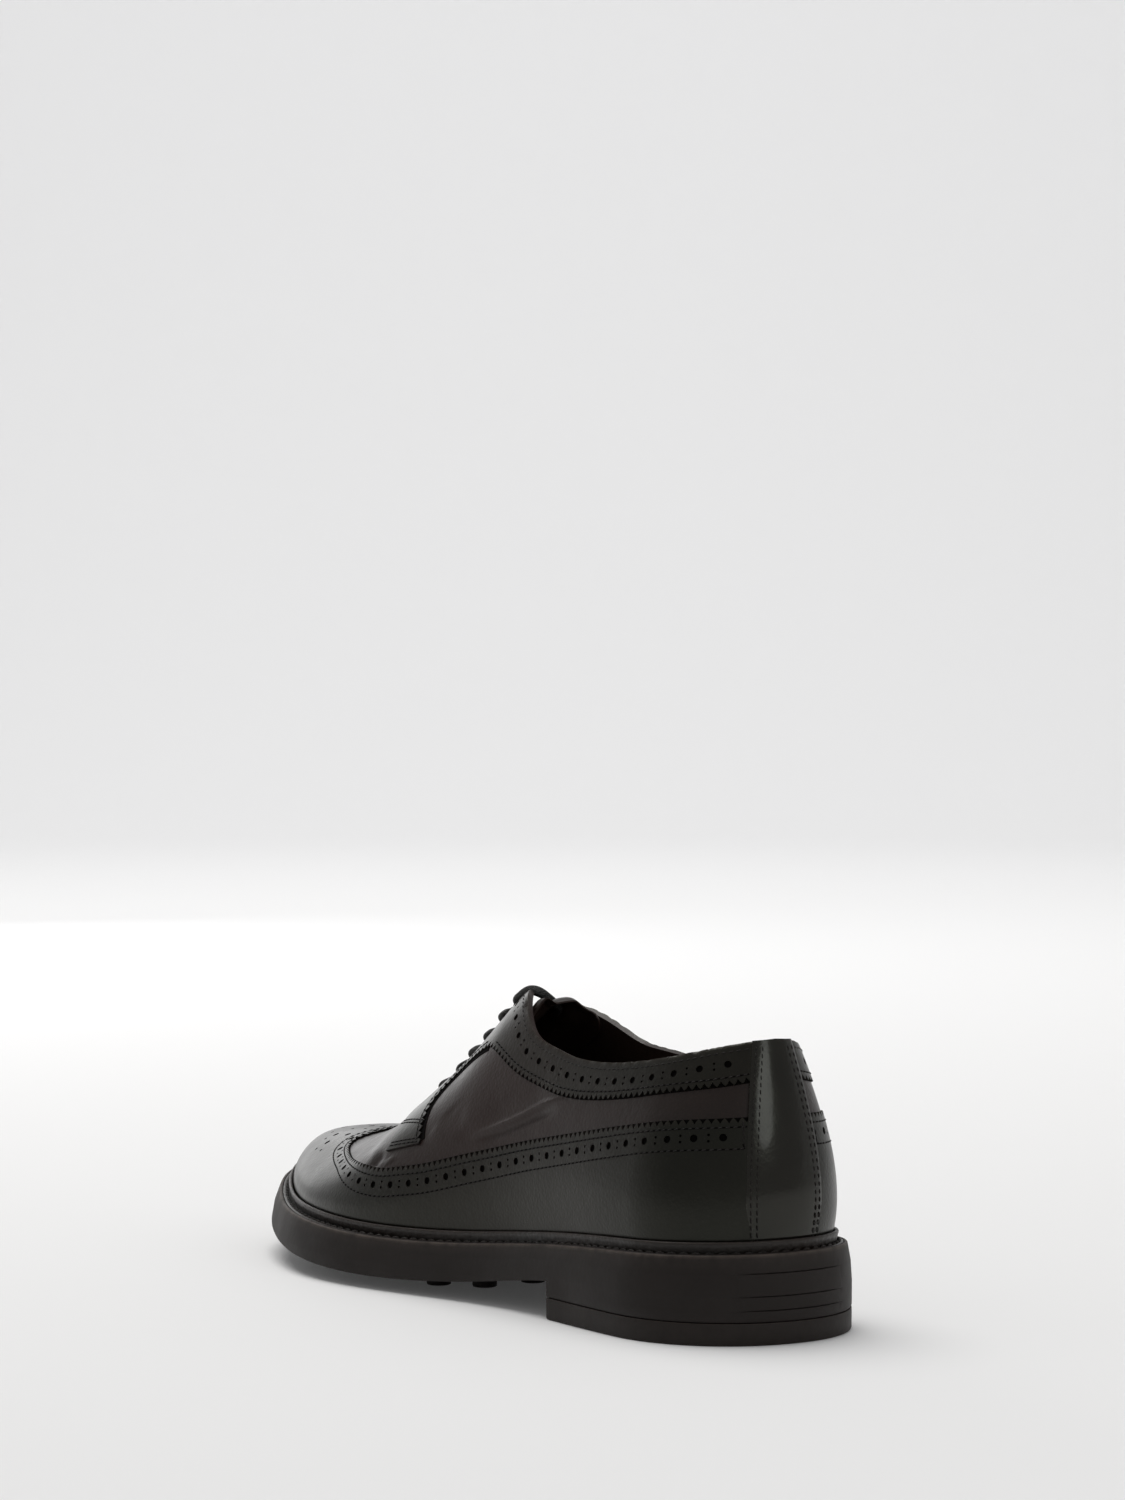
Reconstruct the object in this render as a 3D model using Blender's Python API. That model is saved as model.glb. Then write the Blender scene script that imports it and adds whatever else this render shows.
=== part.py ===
# A longwing derby brogue for the left foot: toe along +X, outer side along +Y, up +Z.
# The last, on which the shoe is made, is a surface last(u, g): u runs along the foot's edge from
# the heel's back 0 to the toe's tip 1, and g goes from the outer edge 1 over the ridge 0 to the
# inner edge -1. Every leather piece is cut from that surface, and the sole follows its edge.
import bpy
import bmesh
import numpy as np

# the last
LAST_LENGTH = 0.290
HEEL_WIDTH = 0.0665
WAIST_WIDTH = 0.0585
BALL_WIDTH = 0.0905
TOE_WIDTH = 0.083
HEEL_SEAT = 0.0288  # height of the last's edge at the heel
BALL_SEAT = 0.0178  # the same under the ball
TOE_SEAT = 0.0270  # the same at the toe's tip
INSTEP_HEIGHT = 0.119  # the ridge above the ground, behind the laces
TOE_HEIGHT = 0.0445  # the ridge above the ground, over the toes

OUTLINE = (  # share of the length, width that it follows, outer share of it, inner share
    (0.00, HEEL_WIDTH, 0.50, 0.50),
    (0.17, HEEL_WIDTH, 0.50, 0.50),
    (0.41, WAIST_WIDTH, 0.555, 0.445),
    (0.63, BALL_WIDTH, 0.50, 0.42),
    (0.74, BALL_WIDTH, 0.50, 0.50),
    (0.88, TOE_WIDTH, 0.475, 0.535),
    (1.00, TOE_WIDTH, 0.41, 0.52),
)
SEAT = (  # share of the length, height of the last's edge
    (0.00, HEEL_SEAT),
    (0.16, 0.927 * HEEL_SEAT),
    (0.30, 0.816 * HEEL_SEAT),
    (0.46, 1.067 * BALL_SEAT),
    (0.62, BALL_SEAT),
    (0.74, 1.067 * BALL_SEAT),
    (0.87, 0.770 * TOE_SEAT),
    (1.00, TOE_SEAT),
)
RIDGE = (  # share of the length, height of the ridge
    (0.00, 0.983 * INSTEP_HEIGHT),
    (0.17, INSTEP_HEIGHT),
    (0.30, INSTEP_HEIGHT),
    (0.40, 0.958 * INSTEP_HEIGHT),
    (0.47, 0.863 * INSTEP_HEIGHT),
    (0.53, 0.746 * INSTEP_HEIGHT),
    (0.60, 0.622 * INSTEP_HEIGHT),
    (0.67, 0.500 * INSTEP_HEIGHT),
    (0.74, 1.112 * TOE_HEIGHT),
    (0.80, 1.038 * TOE_HEIGHT),
    (0.87, TOE_HEIGHT),
    (0.93, 0.948 * TOE_HEIGHT),
    (1.00, 0.854 * TOE_HEIGHT),
)
FORM = (  # share of the length, power of the side, power of the rise, bulge of the side, ridge's lean
    (0.00, 1.75, 1.00, 0.0026, -0.0065),
    (0.20, 1.22, 0.98, 0.0028, -0.0040),
    (0.40, 1.00, 0.96, 0.0026, 0.0),
    (0.50, 1.15, 0.95, 0.0025, 0.0),
    (0.60, 1.34, 0.94, 0.0025, 0.0),
    (0.68, 1.26, 0.93, 0.0023, -0.0003),
    (0.78, 1.00, 0.905, 0.0019, -0.0013),
    (0.88, 0.80, 0.875, 0.0015, -0.0030),
    (1.00, 0.72, 0.85, 0.0010, -0.0060),
)
HEEL_ROUND, HEEL_POWER = 0.125, 2.15  # share of the length that the round heel takes, its power
TOE_ROUND, TOE_POWER = 0.345, 2.1
TOE_SWING = 0.006  # how far the toe's tip turns inward
RIDGE_HEEL, RIDGE_TOE = 0.075, 0.955  # where the ridge starts and ends
HEEL_FAN, TOE_FAN = 0.36, 0.72  # u between which sections stand square to the length
HUMP_PEAK = 9.48  # brings the bulge's curve h (1 - h)^3 to a height of 1

# the upper's pattern: each line is a column of this table, and a row is a cut across the side
WALL = 0.0016  # leather and lining of the vamp and quarters
WING_STEP = 0.0007  # the wing cap lies this far above them
BAND_STEP = 0.0007  # the collar band and eyestay likewise
STRAP_STEP = 0.0010  # the heel strap, which covers the ends of both
STEP_RUN = 0.0003  # width of each overlay's cut edge
MOST_STEP_SHARE = 0.3  # the most of a narrow field that the cut edge may take
TUCK_FROM, TUCK_RUN = 0.86, 0.10  # g where the strap's extra thickness runs out under the welt
STRAP, PEAK, BEND, TAB_BACK, TAB_FRONT, THROAT, CUT, TOE_MARK = 1, 8, 10, 11, 12, 14, 14.4, 16
THROAT_AT, WING_PEAK_AT = 0.600, 0.653  # u of the throat's bottom and of the wing's peak
SECTIONS = (  # mark, u at the edge, wing cap's u and g, band's u and g, top edge's u and g
    (0, 0.000, 0.000, 0.688, 0.000, 0.592, 0.000, 0.470),
    (1, 0.058, 0.058, 0.684, 0.058, 0.594, 0.060, 0.476),
    (2, 0.140, 0.135, 0.692, 0.145, 0.617, 0.128, 0.497),
    (3, 0.215, 0.205, 0.707, 0.215, 0.640, 0.205, 0.535),
    (4, 0.290, 0.280, 0.735, 0.285, 0.667, 0.285, 0.571),
    (5, 0.355, 0.345, 0.762, 0.350, 0.675, 0.350, 0.572),
    (6, 0.405, 0.398, 0.780, 0.398, 0.647, 0.395, 0.536),
    (7, 0.445, 0.437, 0.790, 0.440, 0.582, 0.430, 0.455),
    (8, 0.475, 0.470, 0.791, 0.482, 0.445, 0.466, 0.215),
    (9, 0.505, 0.503, 0.786, 0.520, 0.416, 0.500, 0.190),
    (10, 0.530, 0.527, 0.778, 0.541, 0.510, 0.535, 0.180),
    (11, 0.552, 0.548, 0.768, 0.527, 0.704, 0.570, 0.155),
    (12, 0.580, 0.575, 0.743, 0.570, 0.679, 0.598, 0.050),
    (13, 0.640, 0.620, 0.643),
    (14, 0.720, 0.665, 0.500),
    (15, 0.840, 0.693, 0.310),
    (16, 1.000, WING_PEAK_AT, 0.000),
)
INNER_TOP = (  # mark, how far the inner side's top edge is ahead of the outer one in u, and lower in g
    (0, 0.0, 0.0),
    (4, 0.0, 0.012),
    (6, 0.0, 0.030),
    (7, 0.003, 0.042),
    (8, 0.015, 0.042),
    (9, 0.010, 0.025),
    (10, 0.004, 0.010),
    (12, 0.0, 0.0),
)
FACING_ROWS = 5  # also the columns between TAB_FRONT and THROAT, which the facing's front edge meets
STRAP_EDGE = STRAP + 0.03
COLUMNS = (  # first mark, last mark, number of columns between them
    (0, STRAP, 2),
    (STRAP, STRAP_EDGE, 1),
    (STRAP_EDGE, PEAK, 16),
    (PEAK, BEND, 6),
    (BEND, TAB_BACK, 4),
    (TAB_BACK, TAB_FRONT, 3),
    (TAB_FRONT, THROAT, FACING_ROWS),
    (THROAT, CUT, 1),
    (CUT, TOE_MARK, 6),
)
CAP_ROWS, VAMP_ROWS = 8, 4
CAP_CROWD = 2.0  # brings the cap's rows closer together near the sole
LINING_CAP_ROWS, LINING_VAMP_ROWS = 4, 3

# the sole
GAP = 0.0003
HEEL_EDGE, BALL_EDGE = 0.0059, 0.0066  # the sole beyond the last's edge
HEEL_FLARE, TOE_FLARE = 0.0016, 0.0032  # how far its side spreads toward the ground
FLARE_DEPTH = 0.012
LIFT_THICKNESS = 0.0072
LIFT_CHAMFER = 0.0008
HEEL_BREAST = 0.2655  # share of the length where the heel block ends
BLOCK_SINK, SINK_FROM = 0.0035, 0.32  # ahead of the heel the uncut block reaches this much lower
UNDERSIDE = (  # share of the length, height of the sole's underside
    (0.20, 0.0139),
    (HEEL_BREAST, 0.0127),
    (0.42, 0.0072),
    (0.58, 0.0046),
    (0.70, 0.0057),
    (0.85, 0.0093),
    (1.10, 0.0200),
)
SEAT_DROP = 0.0020  # depth of the floor that the welt and insole lie on
RIM_WIDTH = 0.0009
RIM_CHAMFER = 0.0005
GROOVES = (0.28, 0.62, 0.83)  # shares of the side's height, at the heel only
GROOVE_DEPTH, GROOVE_HALF, GROOVES_END = 0.0005, 0.022, 0.16
STUD_RADIUS, STUD_HEIGHT, STUD_SIDES = 0.0042, 0.0042, 10
STUD_SINK = 0.0015  # how deep its shape starts inside the sole
STUD_CHAMFER = 0.0005
STUDS = (  # share of the length, shares of the half width where its studs stand
    (0.50, (-0.52, 0.0, 0.52)),
    (0.565, (-0.62, -0.21, 0.21, 0.62)),
    (0.635, (-0.66, -0.22, 0.22, 0.66)),
    (0.705, (-0.62, -0.21, 0.21, 0.62)),
    (0.775, (-0.56, 0.0, 0.56)),
    (0.845, (-0.48, 0.0, 0.48)),
)
LEVEL_BELOW = 0.0006  # a stud that ends lower than this stands on the ground

# the welt, insole, tongue and laces
WELT_FLANGE = 0.0016
LIP_HEIGHT = 0.0038
LIP_WIDTH = 0.0012
LIP_CLEAR = 0.0006  # between the lip and the wing cap
INSOLE_THICKNESS = 0.0026
INSOLE_CLEAR = 0.0005  # between its edge and the lining
TONGUE_THICKNESS = 0.0018
TONGUE_CLEAR = 0.0007  # between the tongue and the leather over it
TONGUE = (  # u, half width in g, how far its middle falls below the facings
    (0.447, 0.30, 0.0088),
    (0.450, 0.38, 0.0083),
    (0.457, 0.43, 0.0070),
    (0.470, 0.45, 0.0054),
    (0.490, 0.45, 0.0033),
    (0.515, 0.43, 0.0018),
    (0.545, 0.39, 0.0008),
    (0.575, 0.34, 0.0002),
    (0.600, 0.29, 0.0),
    (0.618, 0.25, 0.0),
)
TONGUE_COLUMNS = 10
TONGUE_SAG_G = 0.60  # g where its sag has faded out
TONGUE_TILT = 0.6  # share more that its inner half sags
LACE_RADIUS = 0.0014
LACE_FIRST, LACE_LAST, LACE_COUNT = 0.471, 0.582, 6  # u of the top and lowest eyelets
EYELET_G = 0.235
INNER_EYELETS = 0.012  # u that the top inner eyelet is further ahead, which fades to 0 at the lowest
LACE_RISE = 0.0008
LACE_SIDE, LACE_BRIDGE = 3, 5  # points of a bar on each facing and across the gap
STATIONS = 40  # points along each side of the sole


def spline(rows, at, column=1):
    """natural cubic curve through one column of a table"""
    x = np.array([row[0] for row in rows], float)
    y = np.array([row[column] for row in rows], float)
    step = np.diff(x)
    slope = np.diff(y) / step
    system = np.eye(len(x))
    right = np.zeros(len(x))
    for i in range(1, len(x) - 1):
        system[i, i - 1:i + 2] = step[i - 1], 2 * (step[i - 1] + step[i]), step[i]
        right[i] = 6 * (slope[i] - slope[i - 1])
    bend = np.linalg.solve(system, right)
    at = np.clip(np.asarray(at, float), x[0], x[-1])
    i = np.clip(np.searchsorted(x, at, side="right") - 1, 0, len(x) - 2)
    after = at - x[i]
    before = step[i] - after
    curve = (bend[i] * before**3 + bend[i + 1] * after**3) / (6 * step[i])
    from_start = (y[i] / step[i] - bend[i] * step[i] / 6) * before
    from_end = (y[i + 1] / step[i] - bend[i + 1] * step[i] / 6) * after
    return curve + from_start + from_end


def smoothstep(x):
    x = np.clip(x, 0, 1)
    return x * x * (3 - 2 * x)


def ease(t, start, start_slope, end, end_slope):
    """cubic from start to end, t 0 to 1"""
    return (
        (2 * t**3 - 3 * t**2 + 1) * start
        + (t**3 - 2 * t**2 + t) * start_slope
        + (3 * t**2 - 2 * t**3) * end
        + (t**3 - t**2) * end_slope
    )


def share(u):
    """share of the length at the edge, closer together at heel and toe"""
    return 0.5 * (1 - np.cos(np.pi * u))


def share_slope(u):
    return 0.5 * np.pi * np.sin(np.pi * u)


def ends(at):
    """how the width closes at the round heel and toe"""
    heel = np.clip((HEEL_ROUND - at) / HEEL_ROUND, 0, 1)
    toe = np.clip((at - 1 + TOE_ROUND) / TOE_ROUND, 0, 1)
    return (1 - heel**HEEL_POWER) ** (1 / HEEL_POWER) * (1 - toe**TOE_POWER) ** (1 / TOE_POWER)


def half_width(at, side):
    outer = spline([(row[0], row[1] * row[2]) for row in OUTLINE], at)
    inner = spline([(row[0], row[1] * row[3]) for row in OUTLINE], at)
    return np.where(side > 0, outer, inner) * ends(at)


def edge_of_last(u, side):
    """plan point of the last's edge"""
    at = share(u)
    swing = -TOE_SWING * np.clip((at - 0.6) / 0.4, 0, 1) ** 2
    return at * LAST_LENGTH, side * half_width(at, side) + swing


def ridge_share(u):
    """share of the length of the ridge point that section u ends on"""
    heel = ease(np.clip(u / HEEL_FAN, 0, 1), RIDGE_HEEL, 0, share(HEEL_FAN), share_slope(HEEL_FAN) * HEEL_FAN)
    run = 1 - TOE_FAN
    toe = ease(np.clip((u - TOE_FAN) / run, 0, 1), share(TOE_FAN), share_slope(TOE_FAN) * run, RIDGE_TOE, 0)
    return np.where(u < HEEL_FAN, heel, np.where(u > TOE_FAN, toe, share(u)))


def seat(at):
    return spline(SEAT, at)


def last(u, g):
    """point of the last's surface"""
    u, g = np.broadcast_arrays(np.asarray(u, float), np.asarray(g, float))
    side = np.where(g >= 0, 1.0, -1.0)
    turn = (1 - np.abs(g)) * np.pi / 2
    at = share(u)
    out = np.clip(np.cos(turn), 0, 1) ** spline(FORM, at, 1)
    up = np.sin(turn) ** spline(FORM, at, 2)
    edge_x, edge_y = edge_of_last(u, side)
    top = ridge_share(u)
    top_x, top_y = top * LAST_LENGTH, spline(FORM, top, 4)
    away_x, away_y = edge_x - top_x, edge_y - top_y
    away = np.hypot(away_x, away_y) + 1e-9
    hump = HUMP_PEAK * up * (1 - up) ** 3 * spline(FORM, at, 3)
    x = top_x + away_x * (out + hump / away)
    y = top_y + away_y * (out + hump / away)
    low = seat(at)
    return np.stack([x, y, low + (spline(RIDGE, x / LAST_LENGTH) - low) * up], -1)


def on_last(u, g, offset):
    """point at a distance from the last's surface, outward"""
    near = 1e-3
    safe_u = np.where(np.abs(g) < 0.05, np.clip(u, 0.01, 0.985), u)
    along = last(np.clip(safe_u + near, 0, 1), g) - last(np.clip(safe_u - near, 0, 1), g)
    across = last(safe_u, np.clip(g + near, -1, 1)) - last(safe_u, np.clip(g - near, -1, 1))
    normal = np.cross(along, across)
    normal /= np.linalg.norm(normal, axis=-1, keepdims=True)
    return last(u, g) + normal * np.asarray(offset)[..., None]


def to_flat(u, g):
    """the surface laid flat: sections become straight lines from the ridge to the edge"""
    x, y = edge_of_last(u, 1.0)
    top = ridge_share(u) * LAST_LENGTH
    return np.stack([top + (x - top) * g, half_width(share(u), 1.0) * g], -1)


def from_flat(flat):
    """u and g of points of the flat pattern, by halving"""
    low = np.zeros(flat.shape[:-1])
    high = np.ones(flat.shape[:-1])
    for _ in range(40):
        u = (low + high) / 2
        x, _y = edge_of_last(u, 1.0)
        top = ridge_share(u) * LAST_LENGTH
        ahead = (flat[..., 0] - top) * half_width(share(u), 1.0) - flat[..., 1] * (x - top)
        low = np.where(ahead > 0, u, low)
        high = np.where(ahead > 0, high, u)
    x, _y = edge_of_last(u, 1.0)
    top = ridge_share(u) * LAST_LENGTH
    width = half_width(share(u), 1.0)
    run = np.hypot(x - top, width)
    g = ((flat[..., 0] - top) * (x - top) + flat[..., 1] * width) / np.maximum(run**2, 1e-12)
    return u, np.clip(g, 0, 1)


def pattern_line(marks, column, corners):
    """u and g along one of the pattern's lines, with a corner at some marks"""
    rows = [row for row in SECTIONS if len(row) > column + 1]
    out = np.zeros((len(marks), 2))
    for first, last_mark in zip(corners, corners[1:]):
        part = [row for row in rows if first <= row[0] <= last_mark]
        inside = (marks >= first) & (marks <= last_mark)
        for axis in range(2):
            out[inside, axis] = spline(part, marks[inside], column + axis)
    return out


def spread(first, second, rows, start=0.0, crowd=1.0):
    """points between two lines of the flat pattern, one column for each pair"""
    t = np.linspace(0, 1, rows + 1)[:, None] ** crowd * np.ones(len(first))
    t = start + (1 - start) * t
    a, b = to_flat(*first.T), to_flat(*second.T)
    return np.stack(from_flat(a + (b - a) * t[..., None]), -1)


def step_share(run, first, second):
    """share of the way between two lines that an overlay's cut edge takes up"""
    apart = np.linalg.norm(last(*first.T) - last(*second.T), axis=-1)
    return np.minimum(run / (apart + 1e-9), MOST_STEP_SHARE)


def column_marks():
    marks = [np.linspace(a, b, n + 1)[:-1] for a, b, n in COLUMNS]
    return np.concatenate(marks + [np.array([TOE_MARK])])


def pattern(side, run, rows):
    """the three fields of one side, each an array of u and g by row and column"""
    marks = column_marks()
    tab = int(np.flatnonzero(marks == TAB_FRONT)[0])
    throat = int(np.flatnonzero(marks == THROAT)[0])
    edge = np.stack([spline([row[:2] for row in SECTIONS[1:]], marks), np.ones(len(marks))], -1)
    edge[marks <= STRAP, 0] = marks[marks <= STRAP] * SECTIONS[1][1]
    wing = pattern_line(marks, 2, (0, STRAP, TOE_MARK))
    wing[:, 1] = np.clip(wing[:, 1], 0, 1)
    band = pattern_line(marks[:tab + 1], 4, (0, STRAP, PEAK, TAB_BACK, TAB_FRONT))
    top = pattern_line(marks[:tab + 1], 6, (0, STRAP, PEAK, TAB_FRONT))
    if side < 0:
        top[:, 0] += spline(INNER_TOP, marks[:tab + 1], 1)
        top[:, 1] += spline(INNER_TOP, marks[:tab + 1], 2)
    facing = spread(band, top, rows[2], start=step_share(run, band, top))
    front = facing[:, tab].copy()
    front[:, 0] += run / (LAST_LENGTH * share_slope(front[:, 0]))
    front[0] = band[tab]
    ridge = marks[throat + 1:]
    ridge_u = np.interp(ridge, (ridge[0], TOE_MARK), (THROAT_AT, WING_PEAK_AT))
    ahead = np.stack([ridge_u, np.zeros(len(ridge))], -1)
    vamp_top = np.concatenate([band[:tab], front, ahead])
    vamp = spread(wing, vamp_top, rows[1], start=step_share(run, wing, vamp_top))
    cap = spread(edge, wing, rows[0], crowd=CAP_CROWD)
    cap[0] = edge
    return marks, tab, throat, cap, vamp, facing


def make_material(name, colour, roughness):
    material = bpy.data.materials.new(name)
    material.use_nodes = True
    shader = material.node_tree.nodes["Principled BSDF"]
    shader.inputs["Base Color"].default_value = (*colour, 1)
    shader.inputs["Roughness"].default_value = roughness
    shader.inputs["Metallic"].default_value = 0.0
    return material


def make_object(name, points, faces, material):
    """a closed body in the object's frame, its centre line and ground at the origin"""
    mesh = bpy.data.meshes.new(name)
    mesh.from_pydata([tuple(point) for point in np.asarray(points) - origin()], [], faces)
    body = bmesh.new()
    body.from_mesh(mesh)
    bmesh.ops.remove_doubles(body, verts=body.verts, dist=1e-6)
    bmesh.ops.recalc_face_normals(body, faces=body.faces)
    if body.calc_volume(signed=True) < 0:
        bmesh.ops.reverse_faces(body, faces=body.faces)
    for face in body.faces:
        face.smooth = True
    body.to_mesh(mesh)
    body.free()
    mesh.materials.append(material)
    made = bpy.data.objects.new(name, mesh)
    bpy.context.scene.collection.objects.link(made)
    return made


def grid_faces(grid):
    """quads between the rows and columns of vertex numbers"""
    grid = np.asarray(grid)
    quads = np.stack([grid[:-1, :-1], grid[:-1, 1:], grid[1:, 1:], grid[1:, :-1]], -1)
    return [tuple(int(i) for i in quad) for quad in quads.reshape(-1, 4)]


class Points:
    """vertices gathered from arrays, each array given back as vertex numbers"""

    def __init__(self):
        self.rows = []
        self.count = 0

    def add(self, points):
        flat = np.asarray(points).reshape(-1, 3)
        self.rows.append(flat)
        numbers = np.arange(self.count, self.count + len(flat))
        self.count += len(flat)
        return numbers.reshape(np.asarray(points).shape[:-1])

    def all(self):
        return np.concatenate(self.rows)


def skin(side, points, rows, run, steps):
    """one surface of one side of the upper, as vertex numbers, faces and its two open edges"""
    marks, tab, throat, cap, vamp, facing = pattern(side, run, rows)
    wing_step, band_step, strap_step, vamp_step = steps
    strap = marks <= STRAP
    fields = []
    for field, step in ((cap, wing_step), (vamp, vamp_step), (facing, band_step)):
        width = field.shape[1]
        offset = np.where(strap[:width], strap_step, step) * np.ones(field.shape[:2])
        if field is cap:
            tuck = smoothstep((field[..., 1] - TUCK_FROM) / TUCK_RUN)
            offset += (wing_step - offset) * tuck
        placed = on_last(field[..., 0], side * field[..., 1], offset)
        if side < 0:
            placed[:, 0] = on_last(field[:, 0, 0], field[:, 0, 1], offset[:, 0])
            if width == len(marks):
                placed[:, -1] = on_last(field[:, -1, 0], field[:, -1, 1], offset[:, -1])
        fields.append(placed)
    hem = fields[0][:1].copy()
    hem[..., 2] = seat(share(cap[0, :, 0])) - SEAT_DROP + GAP
    hem_n, cap_n, vamp_n, facing_n = (points.add(item) for item in (hem, *fields))
    faces = grid_faces(np.concatenate([hem_n, cap_n]))
    faces += grid_faces(np.stack([cap_n[-1], vamp_n[0]])) + grid_faces(vamp_n)
    faces += grid_faces(np.stack([vamp_n[-1, :tab + 1], facing_n[0]])) + grid_faces(facing_n)
    faces += grid_faces(np.stack([vamp_n[-1, tab:throat + 1], facing_n[:, tab]]))
    mouth = np.concatenate([facing_n[-1], vamp_n[-1, throat:throat + 2]])
    return faces, hem_n[0], mouth


def make_upper(material):
    points = Points()
    faces = []
    for side in (1, -1):
        outer = (WING_STEP, BAND_STEP, STRAP_STEP, 0.0)
        skin_faces, hem, mouth = skin(side, points, (CAP_ROWS, VAMP_ROWS, FACING_ROWS), STEP_RUN, outer)
        lining_rows = (LINING_CAP_ROWS, LINING_VAMP_ROWS, FACING_ROWS)
        lining_faces, inner_hem, inner_mouth = skin(side, points, lining_rows, 0.0, (-WALL,) * 4)
        faces += skin_faces + lining_faces
        faces += grid_faces(np.stack([hem, inner_hem])) + grid_faces(np.stack([mouth, inner_mouth]))
    return make_object("upper", points.all(), faces, material)


def beside(at, side, height):
    """how far the last stands out from its own edge at a height above it"""
    up = np.clip(height / (spline(RIDGE, at) - seat(at)), 0, 1)
    turn = np.arcsin(up ** (1 / spline(FORM, at, 2)))
    top = ridge_share(np.arccos(1 - 2 * at) / np.pi)
    away = np.hypot((at - top) * LAST_LENGTH, half_width(at, side))
    hump = HUMP_PEAK * up * (1 - up) ** 3 * spline(FORM, at, 3)
    return away * (np.cos(turn) ** spline(FORM, at, 1) - 1) + hump


def outline(out, limit=np.inf):
    """closed loop of plan points at a distance from the last's edge: outer side, then inner side"""
    u = np.linspace(0, 1, STATIONS)
    near = 1e-3
    sides = []
    for side in (1.0, -1.0):
        at = share(u)
        distance_out = out(at, side) if callable(out) else out
        x, y = edge_of_last(u, side)
        ahead_x, ahead_y = edge_of_last(np.clip(u + near, 0, 1), side)
        behind_x, behind_y = edge_of_last(np.clip(u - near, 0, 1), side)
        step_x, step_y = ahead_x - behind_x, ahead_y - behind_y
        length = np.hypot(step_x, step_y)
        x = x - side * step_y / length * distance_out
        y = y + side * step_x / length * distance_out
        sides.append(np.stack([np.minimum(x, limit), y, at], -1))
    loop = np.concatenate([sides[0], sides[1][-2:0:-1]])
    loop[0, 1] = 0.0
    return loop


def sole_edge(at):
    return HEEL_EDGE + (BALL_EDGE - HEEL_EDGE) * smoothstep((at - 0.3) / 0.3)


def flare(at, depth):
    most = HEEL_FLARE + (TOE_FLARE - HEEL_FLARE) * smoothstep((at - 0.1) / 0.8)
    return most * np.sin(np.clip(depth / FLARE_DEPTH, 0, 1) * np.pi / 2)


def origin():
    """the middle of the sole's plan, on the ground"""
    loop = outline(lambda at, _side: sole_edge(at) + flare(at, FLARE_DEPTH))
    low, high = loop[:, :2].min(0), loop[:, :2].max(0)
    return np.array([*(low + high) / 2, 0.0])


def strips(loop):
    """faces across a closed loop, from its outer side to its inner side"""
    count = len(loop)
    half = (count + 1) // 2
    faces = [(loop[0], loop[1], loop[-1])]
    faces += [(loop[i], loop[i + 1], loop[count - i - 1], loop[count - i]) for i in range(1, half - 1)]
    if count % 2 == 0:
        faces.append((loop[half - 1], loop[half], loop[half + 1]))
    return [tuple(int(i) for i in face) for face in faces]


def make_stack(name, loops, material):
    """a body from closed loops, bottom to top, with flat ends across"""
    points = Points()
    numbers = np.stack([points.add(loop) for loop in loops])
    closed = np.concatenate([numbers, numbers[:, :1]], 1)
    faces = grid_faces(closed) + strips(numbers[0]) + strips(numbers[-1])
    return make_object(name, points.all(), faces, material)


def block_bottom(at):
    """under the heel the top lift's joint, and ahead of it lower than the underside is cut"""
    return LIFT_THICKNESS + GAP - BLOCK_SINK * smoothstep((at - SINK_FROM) / 0.05)


def side_loop(depth_share, dent=0.0, drop=0.0, inward=0.0, limit=np.inf):
    """loop of the sole's side at a share of its height below the rim"""

    def out(at, _side):
        depth = (seat(at) - block_bottom(at)) * depth_share + drop
        fade = smoothstep((GROOVES_END - at) / 0.05)
        return sole_edge(at) + flare(at, depth) - dent * fade - inward

    loop = outline(out, limit)
    rim = seat(loop[:, 2])
    loop[:, 2] = rim - (rim - block_bottom(loop[:, 2])) * depth_share - drop
    return loop


def cutter_for_arch():
    """what is cut away under the waist and forefoot"""
    at = np.linspace(HEEL_BREAST, UNDERSIDE[-1][0], 22)
    upper_line = np.stack([at * LAST_LENGTH, spline(UNDERSIDE, at)], -1)
    below = -0.01
    profile = [(upper_line[0, 0], below), *map(tuple, upper_line), (upper_line[-1, 0], below)]
    half = BALL_WIDTH
    points = [(x, y, z) for y in (-half, half) for x, z in profile]
    count = len(profile)
    ring = list(range(count))
    faces = [tuple(ring), tuple(i + count for i in reversed(ring))]
    faces += [(i, i + count, (i + 1) % count + count, (i + 1) % count) for i in ring]
    return make_object("arch_cutter", points, faces, None)


def make_studs():
    """round studs, joined to the sole by a Boolean"""
    points = []
    faces = []
    for at, shares in STUDS:
        under = float(spline(UNDERSIDE, at))
        foot = under - STUD_HEIGHT
        foot = 0.0 if foot < LEVEL_BELOW else foot
        for part in shares:
            side = 1.0 if part >= 0 else -1.0
            x, y = at * LAST_LENGTH, part * float(half_width(at, side))
            first = len(points)
            profile = (
                (under + STUD_SINK, STUD_RADIUS),
                (foot + STUD_CHAMFER, STUD_RADIUS),
                (foot, STUD_RADIUS - STUD_CHAMFER),
            )
            for z, radius in profile:
                for k in range(STUD_SIDES):
                    angle = 2 * np.pi * k / STUD_SIDES
                    points.append((x + radius * np.cos(angle), y + radius * np.sin(angle), z))
            ring = [[first + row * STUD_SIDES + k for k in range(STUD_SIDES)] for row in range(3)]
            for low, high in zip(ring, ring[1:]):
                faces += [(low[k], low[k - 1], high[k - 1], high[k]) for k in range(STUD_SIDES)]
            faces += [tuple(ring[0]), tuple(reversed(ring[2]))]
    return make_object("stud_shapes", points, faces, None)


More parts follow.
